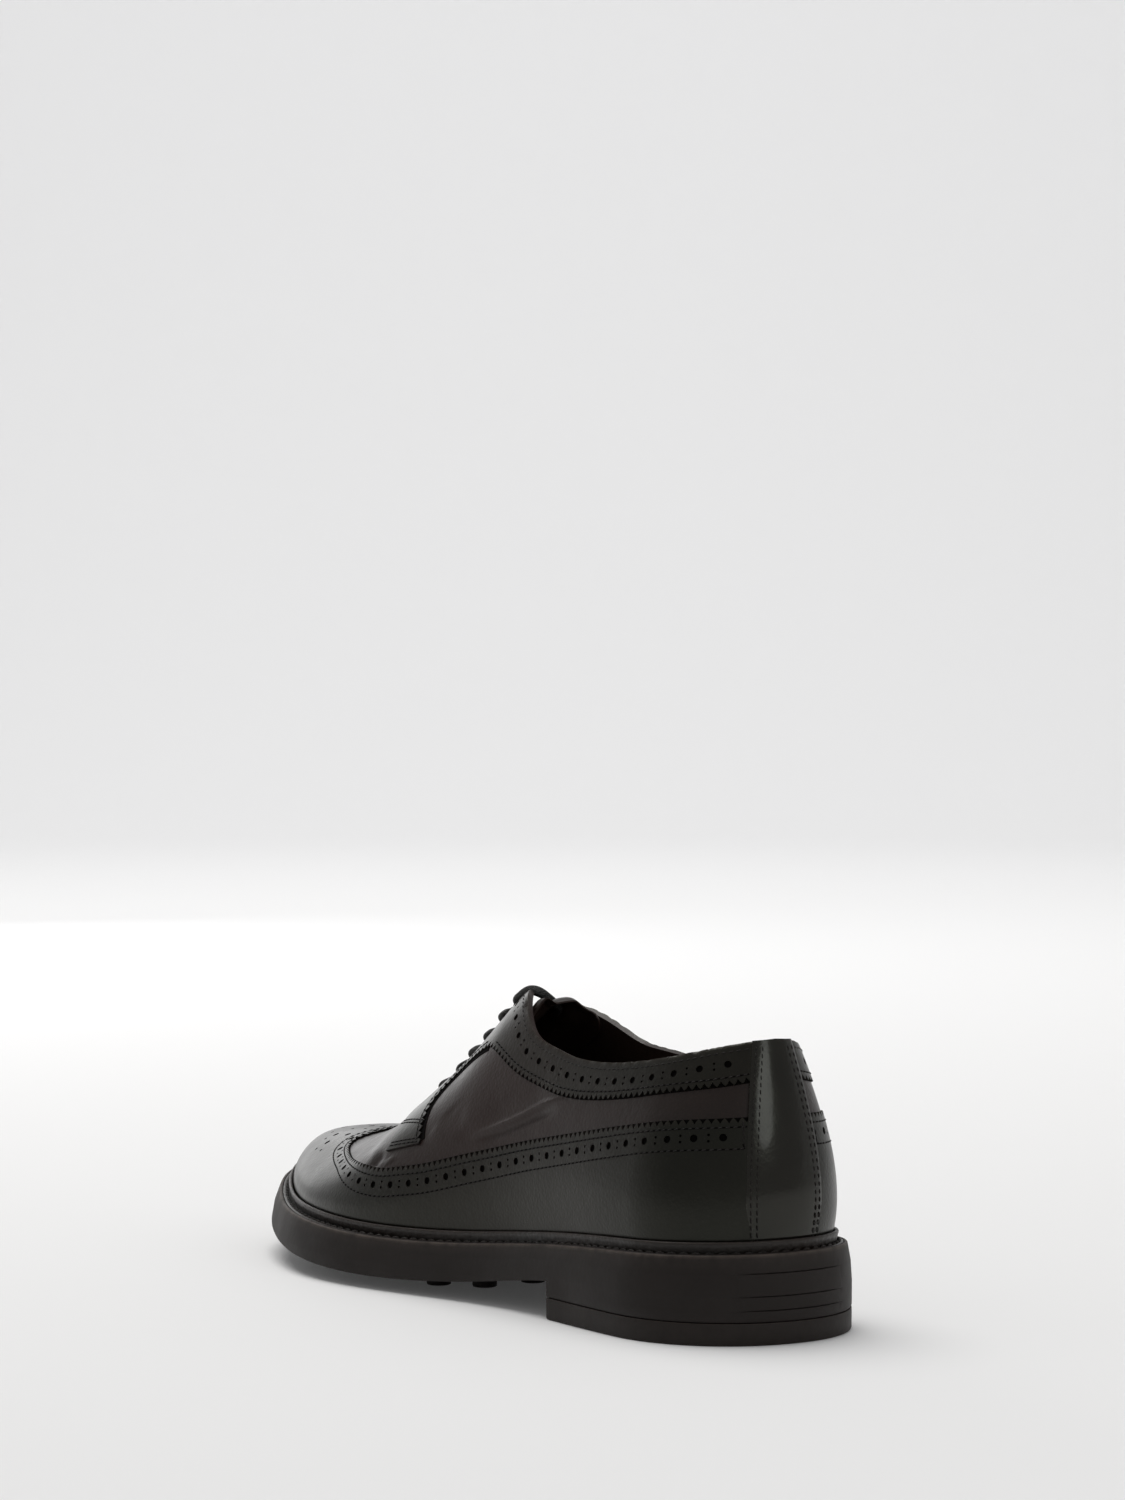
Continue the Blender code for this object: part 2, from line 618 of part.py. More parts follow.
def make_outsole(material):
    loops = [side_loop(1.0)]
    for groove in sorted(GROOVES, reverse=True):
        loops.append(side_loop(groove + GROOVE_HALF))
        loops.append(side_loop(groove, dent=GROOVE_DEPTH))
        loops.append(side_loop(groove - GROOVE_HALF))
    loops.append(side_loop(0.0, drop=RIM_CHAMFER))
    loops.append(side_loop(0.0, inward=RIM_CHAMFER))
    loops.append(side_loop(0.0, inward=RIM_WIDTH))
    loops.append(side_loop(0.0, inward=RIM_WIDTH))
    loops[-1][:, 2] -= SEAT_DROP
    sole = make_stack("outsole", loops, material)
    for shape, operation in ((cutter_for_arch(), "DIFFERENCE"), (make_studs(), "UNION")):
        join = sole.modifiers.new(shape.name, "BOOLEAN")
        join.operation = operation
        join.object = shape
        join.solver = "EXACT"
        shape.hide_render = True
        shape.hide_set(True)
    return sole


def make_top_lift(material):
    """the layer that the heel stands on"""
    stations = np.linspace(0, 1, STATIONS)
    last_station = int(np.flatnonzero(share(stations) >= HEEL_BREAST)[0])
    keep = np.r_[0:last_station + 1, 2 * STATIONS - 2 - last_station:2 * STATIONS - 2]
    loops = []
    for height, inward in ((0.0, LIFT_CHAMFER), (LIFT_CHAMFER, 0.0), (LIFT_THICKNESS, 0.0)):
        loop = side_loop(1.0, inward=inward, limit=HEEL_BREAST * LAST_LENGTH)[keep]
        loop[:, 2] = height
        loops.append(loop)
    return make_stack("top_lift", loops, material)


def make_welt(material):
    """a ring: the flange in the sole's rebate and the raised lip against the upper"""
    floor = -SEAT_DROP + GAP
    level = floor + WELT_FLANGE

    def lip(height, thickness):
        def out(at, side):
            return beside(at, side, max(height, 0.0)) + WING_STEP + LIP_CLEAR + thickness

        return out

    def at_rim(at, _side):
        return sole_edge(at) - RIM_WIDTH - GAP

    profile = (  # distance from the last's edge, height above the seat
        (lip(floor, 0.0), floor),
        (at_rim, floor),
        (at_rim, level),
        (lip(level, LIP_WIDTH + 0.0003), level),
        (lip(level, LIP_WIDTH), level + 0.0004),
        (lip(LIP_HEIGHT, LIP_WIDTH), LIP_HEIGHT - 0.0004),
        (lip(LIP_HEIGHT, LIP_WIDTH - 0.0004), LIP_HEIGHT),
        (lip(LIP_HEIGHT, 0.0), LIP_HEIGHT),
        (lip(LIP_HEIGHT / 2, 0.0), LIP_HEIGHT / 2),
    )
    points = Points()
    rings = []
    for out, height in profile:
        loop = outline(out)
        loop[:, 2] = seat(loop[:, 2]) + height
        rings.append(points.add(loop))
    rings = np.stack(rings + [rings[0]])
    faces = grid_faces(np.concatenate([rings, rings[:, :1]], 1))
    return make_object("welt", points.all(), faces, material)


def make_insole(material):
    loops = []
    for height in (0.0, INSOLE_THICKNESS):
        loop = outline(-(WALL + INSOLE_CLEAR))
        loop[:, 2] = seat(loop[:, 2]) - SEAT_DROP + GAP + height
        loops.append(loop)
    return make_stack("insole", loops, material)


def make_tongue(material):
    u = np.array([row[0] for row in TONGUE])[:, None]
    g = np.array([row[1] for row in TONGUE])[:, None] * np.linspace(-1, 1, TONGUE_COLUMNS + 1)
    sag = np.array([row[2] for row in TONGUE])[:, None] * (1 - smoothstep(np.abs(g) / TONGUE_SAG_G))
    sag *= 1 + TONGUE_TILT * smoothstep(-g / EYELET_G)
    points = Points()
    sheets = []
    for depth in (WALL + TONGUE_CLEAR, WALL + TONGUE_CLEAR + TONGUE_THICKNESS):
        sheet = on_last(u * np.ones(g.shape), g, np.full(g.shape, -depth))
        sheet[..., 2] -= sag
        sheets.append(points.add(sheet))
    top, low = sheets
    faces = grid_faces(top) + grid_faces(low)
    for index in (0, -1):
        faces += grid_faces(np.stack([top[index], low[index]]))
        faces += grid_faces(np.stack([top[:, index], low[:, index]]))
    return make_object("tongue", points.all(), faces, material)


def lace_path(u, inner_u):
    """over the facing from the outer eyelet, across the gap and down to the inner one"""
    clear = BAND_STEP + GAP + LACE_RADIUS
    rows = [row for row in SECTIONS if PEAK <= row[0] <= TAB_FRONT]
    opening = float(np.interp(u, [row[6] for row in rows], [row[7] for row in rows]))
    outer = [on_last(u, g, clear) for g in np.linspace(EYELET_G, opening, LACE_SIDE)]
    inner = [on_last(inner_u, -g, clear) for g in np.linspace(opening, EYELET_G, LACE_SIDE)]
    t = np.linspace(0, 1, LACE_BRIDGE + 2)[1:-1, None]
    bridge = outer[-1] + (inner[0] - outer[-1]) * t
    bridge[:, 2] += LACE_RISE * np.sin(np.pi * t[:, 0])
    return np.concatenate([np.array(outer), bridge, np.array(inner)])


def make_lace(name, path, material):
    curve = bpy.data.curves.new(name, "CURVE")
    curve.dimensions = "3D"
    curve.bevel_depth = LACE_RADIUS
    curve.bevel_resolution = 1
    curve.use_fill_caps = True
    line = curve.splines.new("POLY")
    line.points.add(len(path) - 1)
    for point, place in zip(line.points, path - origin()):
        point.co = (*place, 1)
    curve.materials.append(material)
    made = bpy.data.objects.new(name, curve)
    bpy.context.scene.collection.objects.link(made)
    return made


def make_laces(material):
    outer = np.linspace(LACE_FIRST, LACE_LAST, LACE_COUNT)
    inner = outer + np.linspace(INNER_EYELETS, 0, LACE_COUNT)
    for number in range(LACE_COUNT):
        path = lace_path(float(outer[number]), float(inner[number]))
        make_lace(f"lace_bar_{number + 1}", path, material)


def main():
    for old in list(bpy.data.objects):
        bpy.data.objects.remove(old, do_unlink=True)
    leather = make_material("polished dark leather", (0.030, 0.024, 0.021), 0.28)
    rubber = make_material("dark brown rubber", (0.050, 0.038, 0.032), 0.62)
    welt_leather = make_material("dark welt leather", (0.040, 0.027, 0.020), 0.5)
    lining = make_material("brown lining leather", (0.075, 0.040, 0.026), 0.6)
    cord = make_material("waxed dark cord", (0.015, 0.013, 0.012), 0.55)
    make_outsole(rubber)
    make_top_lift(rubber)
    make_welt(welt_leather)
    make_insole(lining)
    make_upper(leather)
    make_tongue(leather)
    make_laces(cord)


main()
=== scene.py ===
# A longwing derby brogue for the left foot: toe along +X, outer side along +Y, up +Z.
# Every leather piece is cut from the surface of the last, lastPoint(u, g): u runs along the
# sole's edge from the heel's back 0 to the toe's tip 1, and g from the outer edge 1 over the
# ridge 0 to the inner edge -1. A piece is drawn with g from 0 to 1 and made for side 1 and -1.
import bpy
import bmesh
import numpy as np
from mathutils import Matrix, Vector
from mathutils.geometry import delaunay_2d_cdt


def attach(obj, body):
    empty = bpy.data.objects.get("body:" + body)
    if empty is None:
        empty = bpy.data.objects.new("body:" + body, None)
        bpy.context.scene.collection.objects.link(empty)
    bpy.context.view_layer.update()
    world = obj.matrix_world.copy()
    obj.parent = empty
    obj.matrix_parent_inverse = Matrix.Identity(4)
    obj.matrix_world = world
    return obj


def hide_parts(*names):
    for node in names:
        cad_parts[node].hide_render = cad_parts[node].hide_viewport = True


print("frame: loading the packed shoe")
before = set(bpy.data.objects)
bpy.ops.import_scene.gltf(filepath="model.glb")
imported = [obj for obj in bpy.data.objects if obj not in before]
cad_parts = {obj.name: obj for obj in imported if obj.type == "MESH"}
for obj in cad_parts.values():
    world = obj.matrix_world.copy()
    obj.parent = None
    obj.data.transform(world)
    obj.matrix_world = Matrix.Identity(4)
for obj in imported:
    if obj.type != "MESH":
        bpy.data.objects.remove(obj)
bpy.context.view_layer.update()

lastForm = dict(  # metres, and shares of the length
    length=0.290, heelWidth=0.0665, waistWidth=0.0585, ballWidth=0.0905, toeWidth=0.083,
    heelSeat=0.0288, ballSeat=0.0178, toeSeat=0.0270, instepHeight=0.119, toeHeight=0.0445,
    heelRound=0.125, heelPower=2.15, toeRound=0.345, toePower=2.1, toeSwing=0.006,
    ridgeHeel=0.075, ridgeToe=0.955, heelFan=0.36, toeFan=0.72, swingFrom=0.6,
)
outlineRows = (  # share of the length, width that it follows, outer share of it, inner share
    (0.00, lastForm["heelWidth"], 0.50, 0.50),
    (0.17, lastForm["heelWidth"], 0.50, 0.50),
    (0.41, lastForm["waistWidth"], 0.555, 0.445),
    (0.63, lastForm["ballWidth"], 0.50, 0.42),
    (0.74, lastForm["ballWidth"], 0.50, 0.50),
    (0.88, lastForm["toeWidth"], 0.475, 0.535),
    (1.00, lastForm["toeWidth"], 0.41, 0.52),
)
seatRows = (  # share of the length, height of the last's edge
    (0.00, lastForm["heelSeat"]),
    (0.16, 0.927 * lastForm["heelSeat"]),
    (0.30, 0.816 * lastForm["heelSeat"]),
    (0.46, 1.067 * lastForm["ballSeat"]),
    (0.62, lastForm["ballSeat"]),
    (0.74, 1.067 * lastForm["ballSeat"]),
    (0.87, 0.770 * lastForm["toeSeat"]),
    (1.00, lastForm["toeSeat"]),
)
ridgeRows = (  # share of the length, height of the ridge
    (0.00, 0.983 * lastForm["instepHeight"]),
    (0.17, lastForm["instepHeight"]),
    (0.30, lastForm["instepHeight"]),
    (0.40, 0.958 * lastForm["instepHeight"]),
    (0.47, 0.863 * lastForm["instepHeight"]),
    (0.53, 0.746 * lastForm["instepHeight"]),
    (0.60, 0.622 * lastForm["instepHeight"]),
    (0.67, 0.500 * lastForm["instepHeight"]),
    (0.74, 1.112 * lastForm["toeHeight"]),
    (0.80, 1.038 * lastForm["toeHeight"]),
    (0.87, lastForm["toeHeight"]),
    (0.93, 0.948 * lastForm["toeHeight"]),
    (1.00, 0.854 * lastForm["toeHeight"]),
)
formRows = (  # share of the length, power of the side, power of the rise, bulge of the side, ridge's lean
    (0.00, 1.75, 1.00, 0.0026, -0.0065),
    (0.20, 1.22, 0.98, 0.0028, -0.0040),
    (0.40, 1.00, 0.96, 0.0026, 0.0),
    (0.50, 1.15, 0.95, 0.0025, 0.0),
    (0.60, 1.34, 0.94, 0.0025, 0.0),
    (0.68, 1.26, 0.93, 0.0023, -0.0003),
    (0.78, 1.00, 0.905, 0.0019, -0.0013),
    (0.88, 0.80, 0.875, 0.0015, -0.0030),
    (1.00, 0.72, 0.85, 0.0010, -0.0060),
)
humpPeak = 9.48  # brings the bulge's curve h (1 - h)^3 to a height of 1

patternMarks = dict(strap=1, peak=8, tabBack=11, tabFront=12, throat=14, toe=16)
patternRows = (  # mark, u at the edge, wing's u and g, band's u and g, top edge's u and g
    (0, 0.000, 0.000, 0.688, 0.000, 0.592, 0.000, 0.470),
    (1, 0.058, 0.058, 0.684, 0.058, 0.594, 0.060, 0.476),
    (2, 0.140, 0.135, 0.692, 0.145, 0.617, 0.128, 0.497),
    (3, 0.215, 0.205, 0.707, 0.215, 0.640, 0.205, 0.535),
    (4, 0.290, 0.280, 0.735, 0.285, 0.667, 0.285, 0.571),
    (5, 0.355, 0.345, 0.762, 0.350, 0.675, 0.350, 0.572),
    (6, 0.405, 0.398, 0.780, 0.398, 0.647, 0.395, 0.536),
    (7, 0.445, 0.437, 0.790, 0.440, 0.582, 0.430, 0.455),
    (8, 0.475, 0.470, 0.791, 0.482, 0.445, 0.466, 0.215),
    (9, 0.505, 0.503, 0.786, 0.520, 0.416, 0.500, 0.190),
    (10, 0.530, 0.527, 0.778, 0.541, 0.510, 0.535, 0.180),
    (11, 0.552, 0.548, 0.768, 0.527, 0.704, 0.570, 0.155),
    (12, 0.580, 0.575, 0.743, 0.570, 0.679, 0.598, 0.050),
    (13, 0.640, 0.620, 0.643),
    (14, 0.720, 0.665, 0.500),
    (15, 0.840, 0.693, 0.310),
    (16, 1.000, 0.653, 0.000),
)
innerTopRows = (  # mark, how far the inner top edge is ahead of the outer one in u, and lower in g
    (0, 0.0, 0.0),
    (4, 0.0, 0.012),
    (6, 0.0, 0.030),
    (7, 0.003, 0.042),
    (8, 0.015, 0.042),
    (9, 0.010, 0.025),
    (10, 0.004, 0.010),
    (12, 0.0, 0.0),
)
throatU, wingPeakU = 0.600, 0.653
leatherWork = dict(
    wall=0.0016, wingStep=0.0007, bandStep=0.0007, strapStep=0.0010, soleGap=0.0003,
    sunk=0.0001,  # how far a panel's underside reaches into the leather below
)


# natural cubic curve through one column of a table
def spline(rows, at, column=1):
    x = np.array([row[0] for row in rows], float)
    y = np.array([row[column] for row in rows], float)
    step = np.diff(x)
    slope = np.diff(y) / step
    system = np.eye(len(x))
    right = np.zeros(len(x))
    for i in range(1, len(x) - 1):
        system[i, i - 1:i + 2] = step[i - 1], 2 * (step[i - 1] + step[i]), step[i]
        right[i] = 6 * (slope[i] - slope[i - 1])
    bend = np.linalg.solve(system, right)
    at = np.clip(np.asarray(at, float), x[0], x[-1])
    i = np.clip(np.searchsorted(x, at, side="right") - 1, 0, len(x) - 2)
    after = at - x[i]
    before = step[i] - after
    curve = (bend[i] * before**3 + bend[i + 1] * after**3) / (6 * step[i])
    fromStart = (y[i] / step[i] - bend[i] * step[i] / 6) * before
    fromEnd = (y[i + 1] / step[i] - bend[i + 1] * step[i] / 6) * after
    return curve + fromStart + fromEnd


def smoothstep(x):
    x = np.clip(x, 0, 1)
    return x * x * (3 - 2 * x)


def dot(a, b):
    return (a * b).sum(-1)


def unit(v):
    return v / np.maximum(np.linalg.norm(v, axis=-1, keepdims=True), 1e-12)


# cubic from start to end, t from 0 to 1
def ease(t, start, startSlope, end, endSlope):
    return (
        (2 * t**3 - 3 * t**2 + 1) * start
        + (t**3 - 2 * t**2 + t) * startSlope
        + (3 * t**2 - 2 * t**3) * end
        + (t**3 - t**2) * endSlope
    )


def shareOf(u):  # share of the length at the edge, closer together at heel and toe
    return 0.5 * (1 - np.cos(np.pi * u))


def shareSlope(u):
    return 0.5 * np.pi * np.sin(np.pi * u)


def roundEnds(at):
    heel = np.clip((lastForm["heelRound"] - at) / lastForm["heelRound"], 0, 1)
    toe = np.clip((at - 1 + lastForm["toeRound"]) / lastForm["toeRound"], 0, 1)
    heelPower, toePower = lastForm["heelPower"], lastForm["toePower"]
    return (1 - heel**heelPower) ** (1 / heelPower) * (1 - toe**toePower) ** (1 / toePower)


def halfWidth(at, side):
    outer = spline([(row[0], row[1] * row[2]) for row in outlineRows], at)
    inner = spline([(row[0], row[1] * row[3]) for row in outlineRows], at)
    return np.where(side > 0, outer, inner) * roundEnds(at)


def edgeOfLast(u, side):
    at = shareOf(u)
    turned = (at - lastForm["swingFrom"]) / (1 - lastForm["swingFrom"])
    swing = -lastForm["toeSwing"] * np.clip(turned, 0, 1) ** 2
    return at * lastForm["length"], side * halfWidth(at, side) + swing


def ridgeShare(u):  # where the ridge point lies that the section at u ends on
    heelFan, toeFan = lastForm["heelFan"], lastForm["toeFan"]
    heelSlope = shareSlope(heelFan) * heelFan
    heel = ease(np.clip(u / heelFan, 0, 1), lastForm["ridgeHeel"], 0, shareOf(heelFan), heelSlope)
    run = 1 - toeFan
    toeSlope = shareSlope(toeFan) * run
    toe = ease(np.clip((u - toeFan) / run, 0, 1), shareOf(toeFan), toeSlope, lastForm["ridgeToe"], 0)
    return np.where(u < heelFan, heel, np.where(u > toeFan, toe, shareOf(u)))


def seatHeight(at):
    return spline(seatRows, at)


def lastPoint(u, g):
    u, g = np.broadcast_arrays(np.asarray(u, float), np.asarray(g, float))
    side = np.where(g >= 0, 1.0, -1.0)
    turn = (1 - np.abs(g)) * np.pi / 2
    at = shareOf(u)
    out = np.clip(np.cos(turn), 0, 1) ** spline(formRows, at, 1)
    up = np.sin(turn) ** spline(formRows, at, 2)
    edgeX, edgeY = edgeOfLast(u, side)
    top = ridgeShare(u)
    topX, topY = top * lastForm["length"], spline(formRows, top, 4)
    awayX, awayY = edgeX - topX, edgeY - topY
    hump = humpPeak * up * (1 - up) ** 3 * spline(formRows, at, 3)
    stretch = out + hump / (np.hypot(awayX, awayY) + 1e-9)
    x, y = topX + awayX * stretch, topY + awayY * stretch
    low = seatHeight(at)
    return np.stack([x, y, low + (spline(ridgeRows, x / lastForm["length"]) - low) * up], -1)


# step of the probe for a normal, and how far it keeps from the tips beside the ridge
normalProbe = dict(near=1e-3, ridge=0.05, heel=0.01, toe=0.985)


def rawNormal(u, g):
    near = normalProbe["near"]
    besideRidge = np.abs(g) < normalProbe["ridge"]
    safeU = np.where(besideRidge, np.clip(u, normalProbe["heel"], normalProbe["toe"]), u)
    along = lastPoint(np.clip(safeU + near, 0, 1), g) - lastPoint(np.clip(safeU - near, 0, 1), g)
    across = lastPoint(safeU, np.clip(g + near, -1, 1)) - lastPoint(safeU, np.clip(g - near, -1, 1))
    return unit(np.cross(along, across))


def lastNormal(u, g):  # on the middle lines of heel and toe both sides share one normal
    u, g = np.broadcast_arrays(np.asarray(u, float), np.asarray(g, float))
    normal = rawNormal(u, g)
    middle = (u < 1e-6) | (u > 1 - 1e-6)
    if middle.any():
        normal[middle] = unit(normal[middle] + rawNormal(u[middle], -g[middle]))
    return normal


def onLast(u, g, offset):
    return lastPoint(u, g) + lastNormal(u, g) * np.asarray(offset)[..., None]


def besideLast(at, side, height):  # how far the last stands out from its edge at a height above it
    up = np.clip(height / (spline(ridgeRows, at) - seatHeight(at)), 0, 1)
    turn = np.arcsin(up ** (1 / spline(formRows, at, 2)))
    top = ridgeShare(np.arccos(1 - 2 * at) / np.pi)
    away = np.hypot((at - top) * lastForm["length"], halfWidth(at, side))
    hump = humpPeak * up * (1 - up) ** 3 * spline(formRows, at, 3)
    return away * (np.cos(turn) ** spline(formRows, at, 1) - 1) + hump


# the sole follows the last's edge
soleForm = dict(
    heelEdge=0.0059, ballEdge=0.0066, heelFlare=0.0016, toeFlare=0.0032, flareDepth=0.012,
    liftThickness=0.0072, breast=0.2655, blockSink=0.0035, sinkFrom=0.32, seatDrop=0.0020,
    rimWidth=0.0009, stations=220, edgeFrom=0.3, edgeRun=0.3, flareFrom=0.1, flareRun=0.8, sinkRun=0.05,
)
undersideRows = (  # share of the length, height of the sole's underside
    (0.20, 0.0139),
    (soleForm["breast"], 0.0127),
    (0.42, 0.0072),
    (0.58, 0.0046),
    (0.70, 0.0057),
    (0.85, 0.0093),
    (1.10, 0.0200),
)


# closed loop of plan points at a distance from the last's edge: outer side, then inner side
def planLoop(out, limit=np.inf):
    u = np.linspace(0, 1, soleForm["stations"])
    near = 1e-3
    sides = []
    for side in (1.0, -1.0):
        at = shareOf(u)
        distance = out(at, side) if callable(out) else out
        x, y = edgeOfLast(u, side)
        aheadX, aheadY = edgeOfLast(np.clip(u + near, 0, 1), side)
        behindX, behindY = edgeOfLast(np.clip(u - near, 0, 1), side)
        stepX, stepY = aheadX - behindX, aheadY - behindY
        run = np.hypot(stepX, stepY)
        x = x - side * stepY / run * distance
        y = y + side * stepX / run * distance
        sides.append(np.stack([np.minimum(x, limit), y, at], -1))
    loop = np.concatenate([sides[0], sides[1][-2:0:-1]])
    loop[0, 1] = 0.0
    return loop


def soleEdge(at):
    more = soleForm["ballEdge"] - soleForm["heelEdge"]
    return soleForm["heelEdge"] + more * smoothstep((at - soleForm["edgeFrom"]) / soleForm["edgeRun"])


def soleFlare(at, depth):
    spread = soleForm["toeFlare"] - soleForm["heelFlare"]
    ahead = smoothstep((at - soleForm["flareFrom"]) / soleForm["flareRun"])
    most = soleForm["heelFlare"] + spread * ahead
    return most * np.sin(np.clip(depth / soleForm["flareDepth"], 0, 1) * np.pi / 2)


widest = planLoop(lambda at, side: soleEdge(at) + soleFlare(at, soleForm["flareDepth"]))[:, :2]
frameOrigin = np.array([*((widest.min(0) + widest.max(0)) / 2), 0.0])  # the sole's middle, on the ground


# materials

def setSockets(node, values):
    for name, value in values.items():
        node.inputs[name].default_value = value


def addNode(tree, kind, sockets=None, **settings):
    node = tree.nodes.new(kind)
    for name, value in settings.items():
        setattr(node, name, value)
    setSockets(node, sockets or {})
    return node


def makeFinish(name, look):
    material = bpy.data.materials.new(name)
    material.use_nodes = True
    tree = material.node_tree
    link = tree.links.new
    shader = tree.nodes["Principled BSDF"]
    # the specular colour, where a look gives one, paints the studio's greenish cast into the reflections
    setSockets(shader, {
        "Specular IOR Level": look["specular"],
        "Specular Tint": (*look.get("paintedReflectionTint", (1.0, 1.0, 1.0)), 1),
        "Coat Weight": look.get("coat", 0.0),
        "Coat Roughness": look.get("coatRoughness", 0.2),
    })
    place = addNode(tree, "ShaderNodeTexCoord").outputs["Object"]

    def noise(scale, detail=3.0, rough=0.5):
        node = addNode(tree, "ShaderNodeTexNoise", {"Scale": scale, "Detail": detail, "Roughness": rough})
        link(place, node.inputs["Vector"])
        return node.outputs["Fac"]

    def ranged(value, low, high, start, end):
        limits = {"From Min": low, "From Max": high, "To Min": start, "To Max": end}
        node = addNode(tree, "ShaderNodeMapRange", limits)
        link(value, node.inputs["Value"])
        return node.outputs["Result"]

    def mixed(factor, first, second):
        node = addNode(tree, "ShaderNodeMix", data_type="RGBA")
        link(factor, node.inputs["Factor"])
        for socket, colour in ((node.inputs[6], first), (node.inputs[7], second)):
            if isinstance(colour, tuple):
                socket.default_value = (*colour, 1)
            else:
                link(colour, socket)
        return node.outputs[2]

    def combined(operation, first, second):
        node = addNode(tree, "ShaderNodeMath", operation=operation)
        link(first, node.inputs[0])
        link(second, node.inputs[1])
        return node.outputs["Value"]

    def painted(label):
        return addNode(tree, "ShaderNodeAttribute", attribute_name=label).outputs["Fac"]

    def bumped(height, strength, depth, under=None):
        node = addNode(tree, "ShaderNodeBump", {"Strength": strength, "Distance": depth})
        link(height, node.inputs["Height"])
        if under is not None:
            link(under, node.inputs["Normal"])
        return node.outputs["Normal"]

    # mottling: two colours in soft clouds, then burnish and wear painted on by the pieces
    clouds = ranged(noise(look.get("cloudScale", 38.0), 4.0), 0.36, 0.66, 0.0, 1.0)
    colour = mixed(clouds, look["colour"], look["second"])
    colour = mixed(painted("warm"), colour, look.get("warm", look["second"]))
    wornPatch = ranged(noise(look.get("wornScale", 260.0), 2.0), 0.3, 0.6, 0.35, 1.0)
    wornShare = combined("MULTIPLY", painted("worn"), wornPatch)
    colour = mixed(wornShare, colour, look.get("worn", look["second"]))
    link(colour, shader.inputs["Base Color"])
    smudges = noise(look.get("smudgeScale", 55.0), 5.0)
    link(ranged(smudges, 0.3, 0.7, *look["roughness"]), shader.inputs["Roughness"])

    # grain: pores in cells with a fine unevenness over them, on broad soft waves
    pores = {"Scale": look["grainScale"], "Smoothness": 0.6}
    cells = addNode(tree, "ShaderNodeTexVoronoi", pores, feature="SMOOTH_F1")
    link(place, cells.inputs["Vector"])
    grain = combined("ADD", cells.outputs["Distance"], noise(look["grainScale"] * 0.55, 4.0, 0.6))
    grainBump = bumped(grain, look["grainStrength"], look["grainDepth"])
    waves = noise(look.get("waveScale", 70.0), 2.0)
    waveBump = bumped(waves, look.get("waveStrength", 0.0), look.get("waveDepth", 0.001), grainBump)
    link(waveBump, shader.inputs["Normal"])
    return material


print("finishes: leather, rubber, thread and cord")
finishLooks = dict(  # colours, roughness range, coat, size and depth of the grain
    burnishedCalf=dict(
        colour=(0.0034, 0.0038, 0.0030), second=(0.0060, 0.0058, 0.0047), warm=(0.0125, 0.0066, 0.0052),
        worn=(0.045, 0.033, 0.026), roughness=(0.27, 0.36), coat=0.08, coatRoughness=0.14,
        grainScale=900.0, grainStrength=0.22, grainDepth=0.00022,
        waveScale=95.0, waveStrength=0.10, waveDepth=0.0012, specular=0.22, paintedReflectionTint=(0.96, 1.0, 0.84),
    ),
    vampCalf=dict(
        colour=(0.0068, 0.0062, 0.0052), second=(0.0125, 0.0090, 0.0074), warm=(0.0215, 0.0108, 0.0086),
        worn=(0.052, 0.038, 0.030), roughness=(0.31, 0.40), coat=0.05, coatRoughness=0.18,
        grainScale=850.0, grainStrength=0.28, grainDepth=0.00025,
        waveScale=80.0, waveStrength=0.14, waveDepth=0.0012, specular=0.24,
    ),
    heelCalf=dict(
        colour=(0.0055, 0.0056, 0.0050), second=(0.0085, 0.0078, 0.0068), warm=(0.020, 0.010, 0.008),
        worn=(0.045, 0.034, 0.027), roughness=(0.17, 0.25), coat=0.22, coatRoughness=0.08,
        grainScale=950.0, grainStrength=0.12, grainDepth=0.00018,
        waveScale=75.0, waveStrength=0.16, waveDepth=0.0014, specular=0.24, paintedReflectionTint=(0.96, 1.0, 0.84),
    ),
    liningLeather=dict(
        colour=(0.0150, 0.0085, 0.0060), second=(0.0215, 0.0120, 0.0085), warm=(0.026, 0.014, 0.010),
        worn=(0.05, 0.032, 0.024), roughness=(0.50, 0.64), specular=0.25,
        grainScale=700.0, grainStrength=0.35, grainDepth=0.00025,
    ),
    weltLeather=dict(
        colour=(0.0085, 0.0068, 0.0056), second=(0.0130, 0.0092, 0.0072), warm=(0.020, 0.012, 0.009),
        worn=(0.034, 0.024, 0.019), roughness=(0.36, 0.50), coat=0.05, coatRoughness=0.3, specular=0.3,
        grainScale=620.0, grainStrength=0.45, grainDepth=0.00032,
    ),
    soleRubber=dict(
        colour=(0.0118, 0.0090, 0.0078), second=(0.0150, 0.0116, 0.0101), warm=(0.012, 0.009, 0.008),
        worn=(0.062, 0.049, 0.042), roughness=(0.50, 0.62), cloudScale=24.0, specular=0.20,
        grainScale=520.0, grainStrength=0.18, grainDepth=0.00018,
    ),
    darkThread=dict(
        colour=(0.0035, 0.0028, 0.0024), second=(0.0085, 0.0055, 0.0045), warm=(0.01, 0.006, 0.005),
        roughness=(0.5, 0.65), grainScale=2600.0, grainStrength=0.5, grainDepth=0.0002, specular=0.25,
    ),
    weltThread=dict(
        colour=(0.0060, 0.0046, 0.0038), second=(0.0150, 0.0105, 0.0080), warm=(0.02, 0.014, 0.01),
        roughness=(0.5, 0.7), grainScale=2200.0, grainStrength=0.6, grainDepth=0.0003, specular=0.25,
    ),
    # painted shade: a near-black, dull finish for the discs in the punched holes, the strips below pinked
    # edges and in the seam grooves, and the eyestay's painted shadow
    paintedShade=dict(
        colour=(0.0012, 0.0010, 0.0009), second=(0.0022, 0.0016, 0.0014), roughness=(0.85, 0.95),
        grainScale=900.0, grainStrength=0.2, grainDepth=0.0002, specular=0.05,
    ),
    laceCotton=dict(
        colour=(0.0040, 0.0038, 0.0036), second=(0.0080, 0.0070, 0.0064), roughness=(0.5, 0.7),
        grainScale=2400.0, grainStrength=0.9, grainDepth=0.0004, specular=0.25,
    ),
)
finishes = {name: makeFinish(name, look) for name, look in finishLooks.items()}


# meshes

